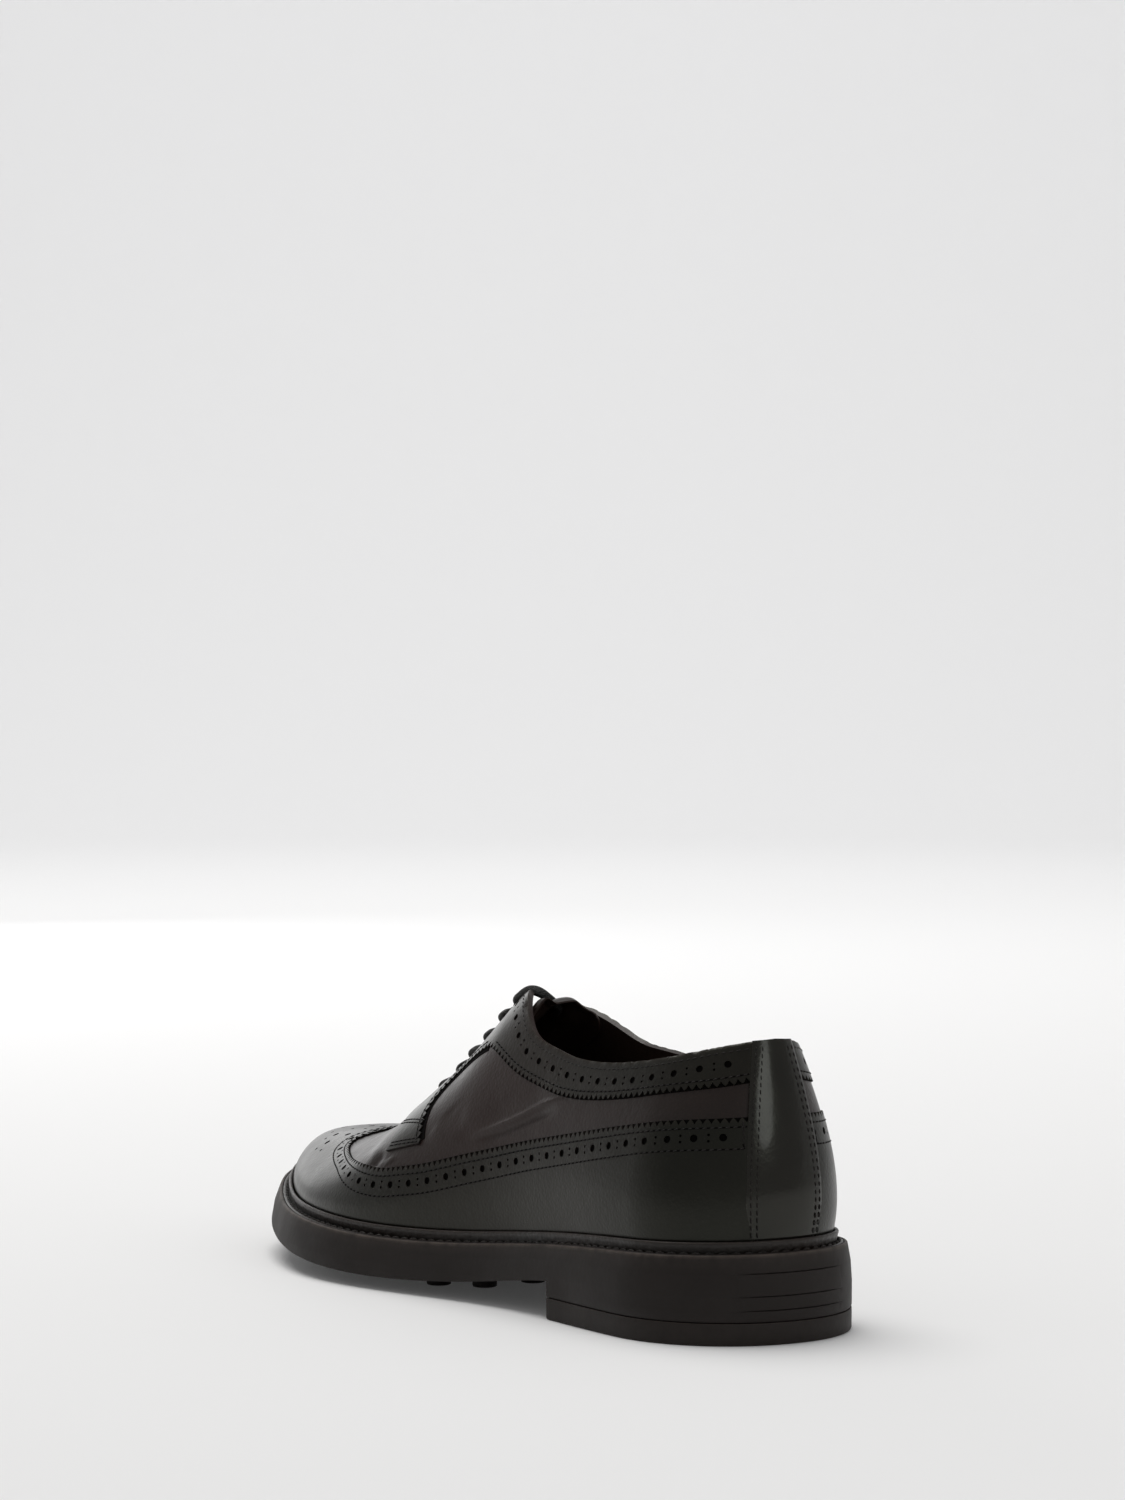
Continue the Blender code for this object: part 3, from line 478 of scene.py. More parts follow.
# folds that walking leaves, each a soft trough (-) or ridge (+) along a path of u and g
walkingFolds = dict(
    rows=(  # height, half width, path; the inner side has its own, with g below 0
        (0.00145, 0.0011, ((0.350, 0.668), (0.388, 0.697), (0.413, 0.721), (0.440, 0.738), (0.475, 0.752))),
        (-0.00090, 0.0022, ((0.360, 0.700), (0.395, 0.724), (0.430, 0.748), (0.465, 0.764))),
        (-0.00050, 0.0050, ((0.375, 0.655), (0.405, 0.680), (0.435, 0.698), (0.470, 0.712))),
        (0.00035, 0.0034, ((0.475, 0.735), (0.495, 0.715), (0.512, 0.690), (0.522, 0.660))),
        (-0.00040, 0.0055, ((0.478, 0.690), (0.498, 0.660), (0.508, 0.610))),
        (-0.00060, 0.0018, ((0.571, 0.685), (0.577, 0.715), (0.578, 0.742))),
        (0.00030, 0.0026, ((0.562, 0.715), (0.558, 0.750))),
        (0.00030, 0.0035, ((0.592, 0.600), (0.590, 0.680), (0.588, 0.730))),
        (-0.00050, 0.0045, ((0.612, 0.150), (0.618, 0.350), (0.612, 0.520), (0.600, 0.650))),
        (0.00030, 0.0040, ((0.635, 0.120), (0.640, 0.330), (0.632, 0.500))),
        (-0.00050, 0.0045, ((0.612, -0.150), (0.622, -0.350), (0.618, -0.540), (0.600, -0.700))),
        (0.00030, 0.0040, ((0.636, -0.120), (0.645, -0.330), (0.640, -0.520))),
        (-0.00050, 0.0036, ((0.380, -0.700), (0.420, -0.730), (0.460, -0.752))),
        (0.00045, 0.0024, ((0.370, -0.690), (0.410, -0.712), (0.450, -0.735))),
        (-0.00040, 0.0050, ((0.480, -0.700), (0.500, -0.660), (0.508, -0.600))),
        (-0.00050, 0.0022, ((0.570, -0.690), (0.576, -0.740))),
    ),
    samples=150,
    endFade=0.28,  # share of the path over which its ends run out
    nearby=0.03,  # points farther from the path than this are left as they are
)


def foldHeight(points):
    height = np.zeros(len(points))
    for rise, reach, path in walkingFolds["rows"]:
        knots = [(i, *spot) for i, spot in enumerate(path)]
        t = np.linspace(0, len(path) - 1, walkingFolds["samples"])
        line = lastPoint(spline(knots, t, 1), spline(knots, t, 2))
        share = t / t[-1]
        endFade = walkingFolds["endFade"]
        fade = smoothstep(share / endFade) * smoothstep((1 - share) / endFade)
        close = (np.abs(points[:, None] - line[None, ::10]).max(-1) < walkingFolds["nearby"]).any(1)
        apart = np.linalg.norm(points[close][:, None] - line[None], axis=-1)
        nearest = apart.argmin(1)
        height[close] += rise * fade[nearest] * np.exp(-(apart.min(1) / reach) ** 2)
    return height


def linkMesh(name, points, faces, finishNames, faceFinish=None, attributes=(), sharp=0.7):
    mesh = bpy.data.meshes.new(name)
    points = np.asarray(points) - frameOrigin
    mesh.from_pydata(points.tolist(), [], [tuple(int(i) for i in face) for face in faces])
    for finish in finishNames:
        mesh.materials.append(finishes[finish])
    if faceFinish is not None:
        mesh.polygons.foreach_set("material_index", np.asarray(faceFinish, np.int32))
    for label, values in attributes:
        layer = mesh.attributes.new(label, "FLOAT", "POINT")
        layer.data.foreach_set("value", np.asarray(values, np.float32))
    body = bmesh.new()
    body.from_mesh(mesh)
    bmesh.ops.remove_doubles(body, verts=body.verts, dist=2e-6)
    bmesh.ops.recalc_face_normals(body, faces=body.faces)
    if body.calc_volume(signed=True) < 0:
        bmesh.ops.reverse_faces(body, faces=body.faces)
    body.to_mesh(mesh)
    body.free()
    mesh.shade_smooth()
    mesh.set_sharp_from_angle(angle=sharp)
    made = bpy.data.objects.new(name, mesh)
    bpy.context.scene.collection.objects.link(made)
    return made


def gridFaces(grid):
    grid = np.asarray(grid)
    quads = np.stack([grid[:-1, :-1], grid[:-1, 1:], grid[1:, 1:], grid[1:, :-1]], -1)
    return [tuple(quad) for quad in quads.reshape(-1, 4).tolist()]


def ringFaces(rings):  # faces between closed rings of points
    rings = np.asarray(rings)
    return gridFaces(np.concatenate([rings, rings[:, :1]], 1))


def raised(u, g, heights):  # the surface raised by each of the heights, with the folds
    base, normal = lastPoint(u, g), lastNormal(u, g)
    fold = foldHeight(base)
    return [base + normal * (height + fold)[:, None] for height in heights]


def hill(at, base, rise, middle, reach):
    return base + rise * np.exp(-((at - middle) / reach) ** 2)


class PointStore:  # vertices gathered from arrays, each array given back as vertex numbers
    def __init__(self):
        self.rows = []
        self.count = 0

    def add(self, points):
        flat = np.asarray(points).reshape(-1, 3)
        self.rows.append(flat)
        numbers = np.arange(self.count, self.count + len(flat))
        self.count += len(flat)
        return numbers.reshape(np.asarray(points).shape[:-1])

    def all(self):
        return np.concatenate(self.rows)


def finishPiece(piece, slotName, *replaced):
    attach(piece, "root")
    if replaced:
        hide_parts(*replaced)
    return piece


# lines of the pattern, as rows of u and g

def patternLine(marks, column, corners):
    rows = [row for row in patternRows if len(row) > column + 1]
    line = np.zeros((len(marks), 2))
    for first, final in zip(corners, corners[1:]):
        part = [row for row in rows if first <= row[0] <= final]
        inside = (marks >= first) & (marks <= final)
        for axis in range(2):
            line[inside, axis] = spline(part, marks[inside], column + axis)
    return line


def cornersAt(*names):  # marks where a line of the pattern has its corners, from its start
    return [0] + [patternMarks[name] for name in names]


def surfaceSteps(u, g, side):  # how the surface point moves with u and with g
    near = 1e-4
    u, g = np.clip(u, 0, 1), np.clip(g, 0, 1)
    uLow, uHigh = np.clip(u - near, 0, 1), np.clip(u + near, 0, 1)
    gLow, gHigh = np.clip(g - near, 0, 1), np.clip(g + near, 0, 1)
    alongU = (lastPoint(uHigh, side * g) - lastPoint(uLow, side * g)) / (uHigh - uLow)[..., None]
    alongG = (lastPoint(u, side * gHigh) - lastPoint(u, side * gLow)) / (gHigh - gLow)[..., None]
    return alongU, alongG


def moved(line, side, shift):  # u and g after a move by a vector that lies in the surface
    a, b = surfaceSteps(line[..., 0], line[..., 1], side)
    aa, ab, bb = dot(a, a), dot(a, b), dot(b, b)
    ra, rb = dot(a, shift), dot(b, shift)
    whole = aa * bb - ab * ab
    return line + np.stack([(ra * bb - rb * ab) / whole, (rb * aa - ra * ab) / whole], -1)


def towardSole(line, side):  # direction in the surface beside a line, toward the sole
    along = unit(np.gradient(lastPoint(line[:, 0], side * line[:, 1]), axis=0))
    return unit(side * np.cross(lastNormal(line[:, 0], side * line[:, 1]), along))


def shifted(line, side, distance):  # the line moved sideways in the surface, toward the sole if positive
    steps = 4
    for _ in range(steps):
        line = moved(line, side, towardSole(line, side) * (np.asarray(distance) / steps)[..., None])
    return line


def lengthsTo(points):  # length run from the first point to each point
    return np.concatenate([[0], np.cumsum(np.linalg.norm(np.diff(points, axis=0), axis=1))])


def runLength(line, side):
    return lengthsTo(lastPoint(line[:, 0], side * line[:, 1]))


def readAt(at, run, rows):  # rows of numbers read at the lengths of a run
    return np.stack([np.interp(at, run, column) for column in rows.T], -1)


def spaced(line, side, pitch, start=0.0, stop=0.0):  # spots at an even pitch along a line
    run = runLength(line, side)
    room = run[-1] - start - stop
    count = max(int(round(room / pitch)), 1)
    return readAt(start + np.linspace(0, room, count + 1), run, line)


pinking = dict(
    pitch=0.0027, depth=0.0017, points=6, power=1.4,  # teeth
    pinkedShade=0.0025, showing=0.0001, height=0.00016,  # a strip of painted shade below them
)


# a line with a pinked edge: the teeth reach it, and the notches are cut back by the depths given
def pinked(line, side):
    run = runLength(line, side)
    count = int(round(run[-1] / pinking["pitch"]))
    at = np.linspace(0, run[-1], count * pinking["points"] + 1)
    phase = (np.arange(len(at)) % pinking["points"]) / pinking["points"]
    notch = np.abs(2 * phase - 1) ** pinking["power"]
    return readAt(at, run, line), notch * pinking["depth"]


def roundHole(spot, side, radius, points):
    a, b = surfaceSteps(np.array([spot[0]]), np.array([spot[1]]), side)
    first = unit(a)
    second = unit(b - dot(b, first)[..., None] * first)
    turn = np.arange(points) * 2 * np.pi / points
    ring = np.repeat(np.array([spot], float), points, 0)
    shift = radius * (np.cos(turn)[:, None] * first + np.sin(turn)[:, None] * second)
    return moved(ring, side, shift)


# a flat cutting plan in mm, close to the real distances
planScale = np.array([330.0, 105.0])
fillClear = dict(cell=0.55, edge=0.9, hole=0.2)  # how far filling points keep off, as shares


def inPlan(loop, spots):  # which spots lie inside a closed loop
    inside = np.zeros(len(spots), bool)
    a, b = loop, np.roll(loop, -1, 0)
    for (ax, ay), (bx, by) in zip(a, b):
        crosses = (ay > spots[:, 1]) != (by > spots[:, 1])
        if crosses.any():
            meet = ax + (spots[:, 1] - ay) * (bx - ax) / ((by - ay) or 1e-12)
            inside ^= crosses & (spots[:, 0] < meet)
    return inside


def cutPanel(outline, holes, spacing, extra=()):
    loops = [np.asarray(outline) * planScale] + [np.asarray(hole) * planScale for hole in holes]
    edgePoints = np.concatenate(loops)
    low, high = loops[0].min(0), loops[0].max(0)
    across, up = np.meshgrid(np.arange(low[0], high[0], spacing), np.arange(low[1], high[1], spacing))
    across[1::2] += spacing / 2
    fill = np.stack([across.ravel(), up.ravel()], -1)
    fill = fill[inPlan(loops[0], fill)]
    for line in extra:
        fill = np.concatenate([fill, np.asarray(line) * planScale])
    # no filling point close to an edge or in a hole
    cell = spacing * fillClear["cell"]
    closest = (cell * fillClear["edge"]) ** 2
    taken = {}
    for i, (x, y) in enumerate(edgePoints):
        taken.setdefault((int(x // cell), int(y // cell)), []).append(i)
    keep = np.ones(len(fill), bool)
    for k, (x, y) in enumerate(fill):
        cx, cy = int(x // cell), int(y // cell)
        for dx in (-1, 0, 1):
            for dy in (-1, 0, 1):
                for i in taken.get((cx + dx, cy + dy), ()):
                    if (edgePoints[i, 0] - x) ** 2 + (edgePoints[i, 1] - y) ** 2 < closest:
                        keep[k] = False
    for loop in loops[1:]:
        middle = loop.mean(0)
        reach = np.linalg.norm(loop - middle, axis=1).max() + spacing * fillClear["hole"]
        keep &= np.linalg.norm(fill - middle, axis=1) > reach
    fill = fill[keep]
    edges = []
    start = 0
    for loop in loops:
        count = len(loop)
        edges += [(start + i, start + (i + 1) % count) for i in range(count)]
        start += count
    spots = [Vector((float(x), float(y))) for x, y in np.concatenate([edgePoints, fill])]
    verts, _edges, faces = delaunay_2d_cdt(spots, edges, [], 0, 1e-5)[:3]
    flat = np.array([(v.x, v.y) for v in verts])
    faces = np.array(faces)
    middles = flat[faces].mean(1)
    inside = inPlan(loops[0], middles)
    for loop in loops[1:]:
        near = np.flatnonzero((np.abs(middles - loop.mean(0)) < np.ptp(loop, axis=0)).all(1))
        inside[near[inPlan(loop, middles[near])]] = False
    faces = faces[inside]
    flat = flat / planScale
    used = np.unique(faces)
    number = np.full(len(flat), -1)
    number[used] = np.arange(len(used))
    return np.clip(flat[used], 0, 1), number[faces]


def valueAt(value, flat, side):  # a value that is the same all over, or worked out for each spot
    return np.zeros(len(flat)) + (value(flat, side) if callable(value) else value)


# a leather panel on both sides: upper face, lower face and the cut edge between them
def makePanel(name, plans, height, finish, tones):
    store = PointStore()
    faces = []
    painted = {label: [] for label in tones}
    for side, (flat, triangles) in plans.items():
        g = side * flat[:, 1]
        seam = (flat[:, 0] < 1e-6) | (flat[:, 0] > 1 - 1e-6) | (flat[:, 1] < 1e-6)
        g = np.where(seam, np.abs(flat[:, 1]), g)
        heights = valueAt(height, flat, side), -leatherWork["sunk"]
        top, low = (store.add(sheet) for sheet in raised(flat[:, 0], g, heights))
        turned = triangles if side > 0 else triangles[:, ::-1]
        corners = flat[turned]
        area = np.cross(corners[:, 1] - corners[:, 0], corners[:, 2] - corners[:, 0])
        if np.sign(area).sum() * side < 0:
            turned = turned[:, ::-1]
        faces += [tuple(face) for face in top[turned].tolist()]
        faces += [tuple(face) for face in low[turned[:, ::-1]].tolist()]
        ends = np.concatenate([turned[:, [0, 1]], turned[:, [1, 2]], turned[:, [2, 0]]])
        seen = {tuple(end) for end in ends.tolist()}
        for a, b in ends.tolist():
            if (b, a) in seen:
                continue
            glued = any(
                abs(flat[a, axis] - value) < 1e-6 and abs(flat[b, axis] - value) < 1e-6
                for axis, value in ((0, 0.0), (0, 1.0), (1, 0.0))
            )
            if not glued:
                faces.append((top[b], top[a], low[a], low[b]))
        for label, tone in tones.items():
            painted[label] += [valueAt(tone, flat, side)] * 2
    attributes = [(label, np.concatenate(values)) for label, values in painted.items()]
    return linkMesh(name, store.all(), faces, [finish], attributes=attributes, sharp=0.6)


def lineDistance(flat, side, line):  # real distance from each spot to a line
    spots = lastPoint(flat[:, 0], side * flat[:, 1])
    path = lastPoint(line[:, 0], side * line[:, 1])
    parts = np.array_split(spots, len(spots) // 4000 + 1)
    return np.concatenate([np.linalg.norm(part[:, None] - path[None], axis=-1).min(1) for part in parts])


# stitches: short rounded threads, joined into one mesh for each seam group
stitchForm = dict(
    length=0.0018, gap=0.0006, radius=0.00021, slant=0.10, sides=6, dip=1.1,
    rings=((-0.5, 0.35), (-0.34, 0.95), (0.0, 1.0), (0.34, 0.95), (0.5, 0.35)),  # shares of length and radius
)


def stitchPlaces(line, side, lift):
    spots = spaced(line, side, stitchForm["length"] + stitchForm["gap"])
    middle = (spots[1:] + spots[:-1]) / 2
    points = lastPoint(spots[:, 0], side * spots[:, 1])
    u, g = middle[:, 0], side * middle[:, 1]
    return raised(u, g, (lift,))[0], unit(np.diff(points, axis=0)), lastNormal(u, g)


def makeThreads(name, places, length, radius, finish, slant):
    centre, along, normal = (np.concatenate(part) for part in zip(*places))
    across = unit(np.cross(normal, along))
    along = unit(along + across * slant)
    across = unit(np.cross(normal, along))
    normal = np.cross(along, across)
    sides = stitchForm["sides"]
    turn = np.arange(sides) * 2 * np.pi / sides
    store = PointStore()
    rings = []
    for t, size in stitchForm["rings"]:
        dip = stitchForm["dip"] * radius * (2 * t) ** 2
        ring = (
            (centre + along * (t * length) - normal * dip)[:, None]
            + across[:, None] * (np.cos(turn) * radius * size)[None, :, None]
            + normal[:, None] * (np.sin(turn) * radius * size)[None, :, None]
        )
        rings.append(store.add(ring))
    faces = []
    for low, high in zip(rings, rings[1:]):
        closed = np.stack([low, np.roll(low, -1, 1), np.roll(high, -1, 1), high], -1)
        faces += [tuple(face) for face in closed.reshape(-1, 4).tolist()]
    faces += [tuple(face[::-1]) for face in rings[0].tolist()]
    faces += [tuple(face) for face in rings[-1].tolist()]
    return linkMesh(name, store.all(), faces, [finish], sharp=3.0)


# the upper: vamp, quarters and lining as one body
print("upper: vamp and quarters with their lining")
quarterMesh = dict(
    columns=(  # from mark, to mark, columns
        (0, 1, 10), (1, 4, 44), (4, 8, 90), (8, 10, 30),
        (10, 11, 12), (11, 12, 14), (12, 14, 24), (14, 16, 44),
    ),
    facingRows=24, capRows=26, vampRows=56, liningCapRows=12, liningVampRows=10, crowd=1.6,
    warm=(0.35, 0.5, 0.115, 0.05),  # all over, more of it, where and how far, in m from the heel
)


def toFlat(u, g):  # sections laid flat as straight lines from the ridge to the edge
    x, _y = edgeOfLast(u, 1.0)
    top = ridgeShare(u) * lastForm["length"]
    return np.stack([top + (x - top) * g, halfWidth(shareOf(u), 1.0) * g], -1)


def fromFlat(flat):
    low = np.zeros(flat.shape[:-1])
    high = np.ones(flat.shape[:-1])
    for _ in range(40):
        u = (low + high) / 2
        x, _y = edgeOfLast(u, 1.0)
        top = ridgeShare(u) * lastForm["length"]
        ahead = (flat[..., 0] - top) * halfWidth(shareOf(u), 1.0) - flat[..., 1] * (x - top)
        low = np.where(ahead > 0, u, low)
        high = np.where(ahead > 0, high, u)
    x, _y = edgeOfLast(u, 1.0)
    top = ridgeShare(u) * lastForm["length"]
    width = halfWidth(shareOf(u), 1.0)
    reach = np.maximum((x - top) ** 2 + width**2, 1e-12)
    return u, np.clip(((flat[..., 0] - top) * (x - top) + flat[..., 1] * width) / reach, 0, 1)


def between(first, second, rows, crowd=1.0):  # rows of spots from one line to the other
    t = (np.linspace(0, 1, rows + 1) ** crowd)[:, None] * np.ones(len(first))
    a, b = toFlat(*first.T), toFlat(*second.T)
    return np.stack(fromFlat(a + (b - a) * t[..., None]), -1)


def topLine(marks, side):
    line = patternLine(marks, 6, cornersAt("strap", "peak", "tabFront"))
    if side < 0:
        line[:, 0] += spline(innerTopRows, marks, 1)
        line[:, 1] += spline(innerTopRows, marks, 2)
    return line


def bandLine(marks):
    return patternLine(marks, 4, cornersAt("strap", "peak", "tabBack", "tabFront"))


def wingLine(marks):
    line = patternLine(marks, 2, cornersAt("strap", "toe"))
    line[:, 1] = np.clip(line[:, 1], 0, 1)
    return line


def upperSkin(side, store, offset, rows):
    columns = [np.linspace(a, b, count + 1)[:-1] for a, b, count in quarterMesh["columns"]]
    marks = np.append(np.concatenate(columns), patternMarks["toe"])
    tab = int(np.flatnonzero(marks == patternMarks["tabFront"])[0])
    throat = int(np.flatnonzero(marks == patternMarks["throat"])[0])
    edge = np.stack([spline([row[:2] for row in patternRows[1:]], marks), np.ones(len(marks))], -1)
    behind = marks <= patternMarks["strap"]
    edge[behind, 0] = marks[behind] * patternRows[1][1]
    wing, band, top = wingLine(marks), bandLine(marks[:tab + 1]), topLine(marks[:tab + 1], side)
    facing = between(band, top, quarterMesh["facingRows"])
    ridge = marks[throat + 1:]
    ahead = np.interp(ridge, (ridge[0], patternMarks["toe"]), (throatU, wingPeakU))
    ahead = np.stack([ahead, np.zeros(len(ridge))], -1)
    vampTop = np.concatenate([band[:tab], facing[:, tab], ahead])
    vamp = between(wing, vampTop, rows[1])
    cap = between(edge, wing, rows[0], quarterMesh["crowd"])
    cap[0] = edge
    placed = []
    for field in (cap, vamp, facing):
        g = side * field[..., 1]
        if side < 0:
            g[:, 0] = field[:, 0, 1]
            if field.shape[1] == len(marks):
                g[:, -1] = field[:, -1, 1]
        base = lastPoint(field[..., 0], g)
        shape = base.shape
        height = foldHeight(base.reshape(-1, 3)).reshape(shape[:-1]) + offset
        placed.append(base + lastNormal(field[..., 0], g) * height[..., None])
    hem = placed[0][:1].copy()
    hem[..., 2] = seatHeight(shareOf(cap[0, :, 0])) - soleForm["seatDrop"] + leatherWork["soleGap"]
    hemN, capN, vampN, facingN = (store.add(item) for item in (hem, *placed))
    faces = gridFaces(np.concatenate([hemN, capN]))
    faces += gridFaces(np.stack([capN[-1], vampN[0]])) + gridFaces(vampN)
    faces += gridFaces(np.stack([vampN[-1, :tab + 1], facingN[0]])) + gridFaces(facingN)
    faces += gridFaces(np.stack([vampN[-1, tab:throat + 1], facingN[:, tab]]))
    mouth = np.concatenate([facingN[-1], vampN[-1, throat:throat + 2]])
    return faces, hemN[0], mouth


def makeQuarters():
    store = PointStore()
    outside, inside = [], []
    for side in (1, -1):
        skinRows = (quarterMesh["capRows"], quarterMesh["vampRows"])
        skinFaces, hem, mouth = upperSkin(side, store, 0.0, skinRows)
        liningRows = (quarterMesh["liningCapRows"], quarterMesh["liningVampRows"])
        liningFaces, innerHem, innerMouth = upperSkin(side, store, -leatherWork["wall"], liningRows)
        outside += skinFaces
        outside += gridFaces(np.stack([hem, innerHem])) + gridFaces(np.stack([mouth, innerMouth]))
        inside += liningFaces
    points = store.all()
    warm = np.clip(hill(points[:, 0], *quarterMesh["warm"]), 0, 1)
    kinds = [0] * len(outside) + [1] * len(inside)
    return linkMesh("vamp_and_quarters", points, outside + inside, ["vampCalf", "liningLeather"], kinds,
                    [("warm", warm), ("worn", np.zeros(len(points)))], sharp=0.9)


quarters = makeQuarters()
finishPiece(quarters, "upper_leather", "upper")


# the longwing cap with its pinked edge, two stitch lines, punched row and toe medallion
print("wing cap: pinked edge, punched holes, medallion")
wingCap = dict(
    strapLap=0.048, spacing=1.25, rowBelow=0.0061, upperSeam=0.0030, lowerSeam=0.0099,
    toeClose=0.34, closeFrom=0.585, closeRun=0.06,
    bigRadius=0.00125, bigPitch=0.0092, smallRadius=0.00048, pairApart=0.0020, bigPoints=12, smallPoints=6,
    firstHole=0.006, lastHole=0.003, rowFromU=0.066, rowFromG=0.05, pinkedShadeU=0.056, pinkedShadeG=0.012,
    edgeSteps=(300, 70, 90),  # along the sole, up the toe, back along the ridge
    warm=(0.10, 0.35, 0.40, 0.16), worn=0.25, wornReach=0.0016,
)
medallion = dict(
    searchU=(0.62, 0.985), searchG=(0.001, 0.95), searchSteps=60,
    spots=(  # distance from the toe's tip along the middle, and to each side, in m; radius
        (0.0279, 0.0080, 0.0013), (0.0320, 0.0150, 0.0007), (0.0373, 0.0205, 0.0007),
        (0.0404, 0.0180, 0.0012), (0.0419, 0.0120, 0.0007), (0.0442, 0.0235, 0.0012),
        (0.0410, 0.0262, 0.0007), (0.0474, 0.0278, 0.0007), (0.0455, 0.0060, 0.0012),
        (0.0500, 0.0110, 0.0007), (0.0540, 0.0060, 0.0012), (0.0345, 0.0045, 0.0007),
        (0.0495, 0.0180, 0.0012), (0.0395, 0.0040, 0.0007),
    ),
)


def lapLine(full, lap):  # the part of a line ahead of the strap's edge, carried on under the strap
    return np.concatenate([[[lap, np.interp(lap, full[:, 0], full[:, 1])]], full[full[:, 0] > lap + 1e-3]])


denseMarks = np.linspace(0.4, 16, 900)
wingFull = lapLine(wingLine(denseMarks), wingCap["strapLap"])


def wingSeam(side, distance):  # the rows of the wing draw together toward the toe
    ahead = smoothstep((wingFull[:, 0] - wingCap["closeFrom"]) / wingCap["closeRun"])
    return shifted(wingFull, side, distance * (1 - wingCap["toeClose"] * ahead))


def surfaceSpot(x, y):  # u and g of the toe's top surface over a plan point, by a few steps of search
    u = np.full(len(x), 0.75)
    g = np.full(len(x), 0.3)
    side = np.where(y >= 0, 1.0, -1.0)
    for _ in range(medallion["searchSteps"]):
        here = lastPoint(u, side * g)
        a, b = surfaceSteps(u, g, side)
        dx, dy = x - here[:, 0], y - here[:, 1]
        whole = a[:, 0] * b[:, 1] - a[:, 1] * b[:, 0]
        whole = np.where(np.abs(whole) < 1e-6, 1e-6, whole)
        u = np.clip(u + 0.5 * (dx * b[:, 1] - dy * b[:, 0]) / whole, *medallion["searchU"])
        g = np.clip(g + 0.5 * (a[:, 0] * dy - a[:, 1] * dx) / whole, *medallion["searchG"])
    return np.stack([u, g], -1)


def holeRow(line, side, form, stop=0.0):  # large holes with a pair of small ones between them
    spots = spaced(line, side, form["bigPitch"], form["firstHole"], stop)
    holes = [(spot, form["bigRadius"]) for spot in spots]
    middles = (spots[1:] + spots[:-1]) / 2
    beside = towardSole(middles, side) * form["pairApart"]
    for direction in (-0.5, 0.5):
        holes += [(spot, form["smallRadius"]) for spot in moved(middles, side, beside * direction)]
    return holes


def cutHoles(spots, side, form):
    loops = []
    for spot, radius in spots:
        big = radius >= form["bigRadius"] * 0.9
        loops.append(roundHole(spot, side, radius, form["bigPoints"] if big else form["smallPoints"]))
    return loops


discForm = dict(sides=8, wider=1.12, height=0.00012, thickness=0.0003)


def discs(name, groups):  # painted shade in the punched holes: dark discs just above the leather below
    store = PointStore()
    faces = []
    sides, high = discForm["sides"], discForm["height"]
    for spots, side in groups:
        for spot, radius in spots:
            ring = roundHole(spot, side, radius * discForm["wider"], sides)
            both = np.concatenate([np.array([spot]), ring])
            sheets = raised(both[:, 0], side * both[:, 1], (high, high - discForm["thickness"]))
            top, low = (store.add(sheet) for sheet in sheets)
            for i in range(sides):
                a, b = 1 + i, 1 + (i + 1) % sides
                faces += [(top[0], top[a], top[b]), (low[0], low[b], low[a])]
                faces.append((top[b], top[a], low[a], low[b]))
    return linkMesh(name, store.all(), faces, ["paintedShade"], sharp=0.5)


def wingPlan(side):
    edge, notch = pinked(wingFull, side)
    edge = moved(edge, side, towardSole(edge, side) * notch[:, None])
    edge[-1] = (wingPeakU, 0.0)
    edge[:, 1] = np.clip(edge[:, 1], 0, 1)
    bottomSteps, tipSteps, ridgeSteps = wingCap["edgeSteps"]
    bottom = np.linspace(wingCap["strapLap"], 1, bottomSteps)
    tip = np.linspace(1, 0, tipSteps)[1:]
    ridge = np.linspace(1, wingPeakU, ridgeSteps)[1:-1]
    outline = np.concatenate([
        np.stack([bottom, np.ones(len(bottom))], -1),
        np.stack([np.ones(len(tip)), tip], -1),
        np.stack([ridge, np.zeros(len(ridge))], -1),
        edge[::-1],
    ])
    row = wingSeam(side, wingCap["rowBelow"])
    row = row[(row[:, 0] > wingCap["rowFromU"]) & (row[:, 1] > wingCap["rowFromG"])]
    spots = holeRow(row, side, wingCap, wingCap["lastHole"])
    plan = np.array(medallion["spots"])
    keepSide = plan[:, 1] > 0
    toeX = lastForm["length"] - plan[keepSide, 0]
    toeY = side * plan[keepSide, 1] + spline(formRows, toeX / lastForm["length"], 4)
    return outline, spots + list(zip(surfaceSpot(toeX, toeY), plan[keepSide, 2]))


wingPlans, wingSpots = {}, []
for side in (1, -1):
    outline, spots = wingPlan(side)
    holes = cutHoles(spots, side, wingCap)
    wingPlans[side] = cutPanel(outline, holes, wingCap["spacing"])
    wingSpots.append((spots, side))
    print("wing side", side, "points", len(wingPlans[side][0]), "holes", len(holes))


def wingWarm(flat, side):
    return hill(flat[:, 0], *wingCap["warm"])


def wingWorn(flat, side):
    near = 1 - lineDistance(flat, side, wingFull[::6]) / wingCap["wornReach"]
    return wingCap["worn"] * np.clip(near, 0, 1)


# thin strips of painted shade below the teeth of pinked edges, past the eyestay's edge as its painted shadow,
# and in the seams' grooves; each line comes with its side, the distances between which its strip lies, and
# the strip's lower and upper height
def shadeStrips(name, lines):
    store = PointStore()
    faces = []
    for line, side, first, final, low, top in lines:
        rings = []
        for distance, heights in ((first, (low, top)), (final, (top, low))):
            row = shifted(line, side, distance)
            rings += [store.add(sheet) for sheet in raised(row[:, 0], side * row[:, 1], heights)]
        grid = np.stack(rings + [rings[0]])
        faces += gridFaces(grid) + [tuple(grid[:4, 0][::-1]), tuple(grid[:4, -1])]
    return linkMesh(name, store.all(), faces, ["paintedShade"], sharp=0.5)


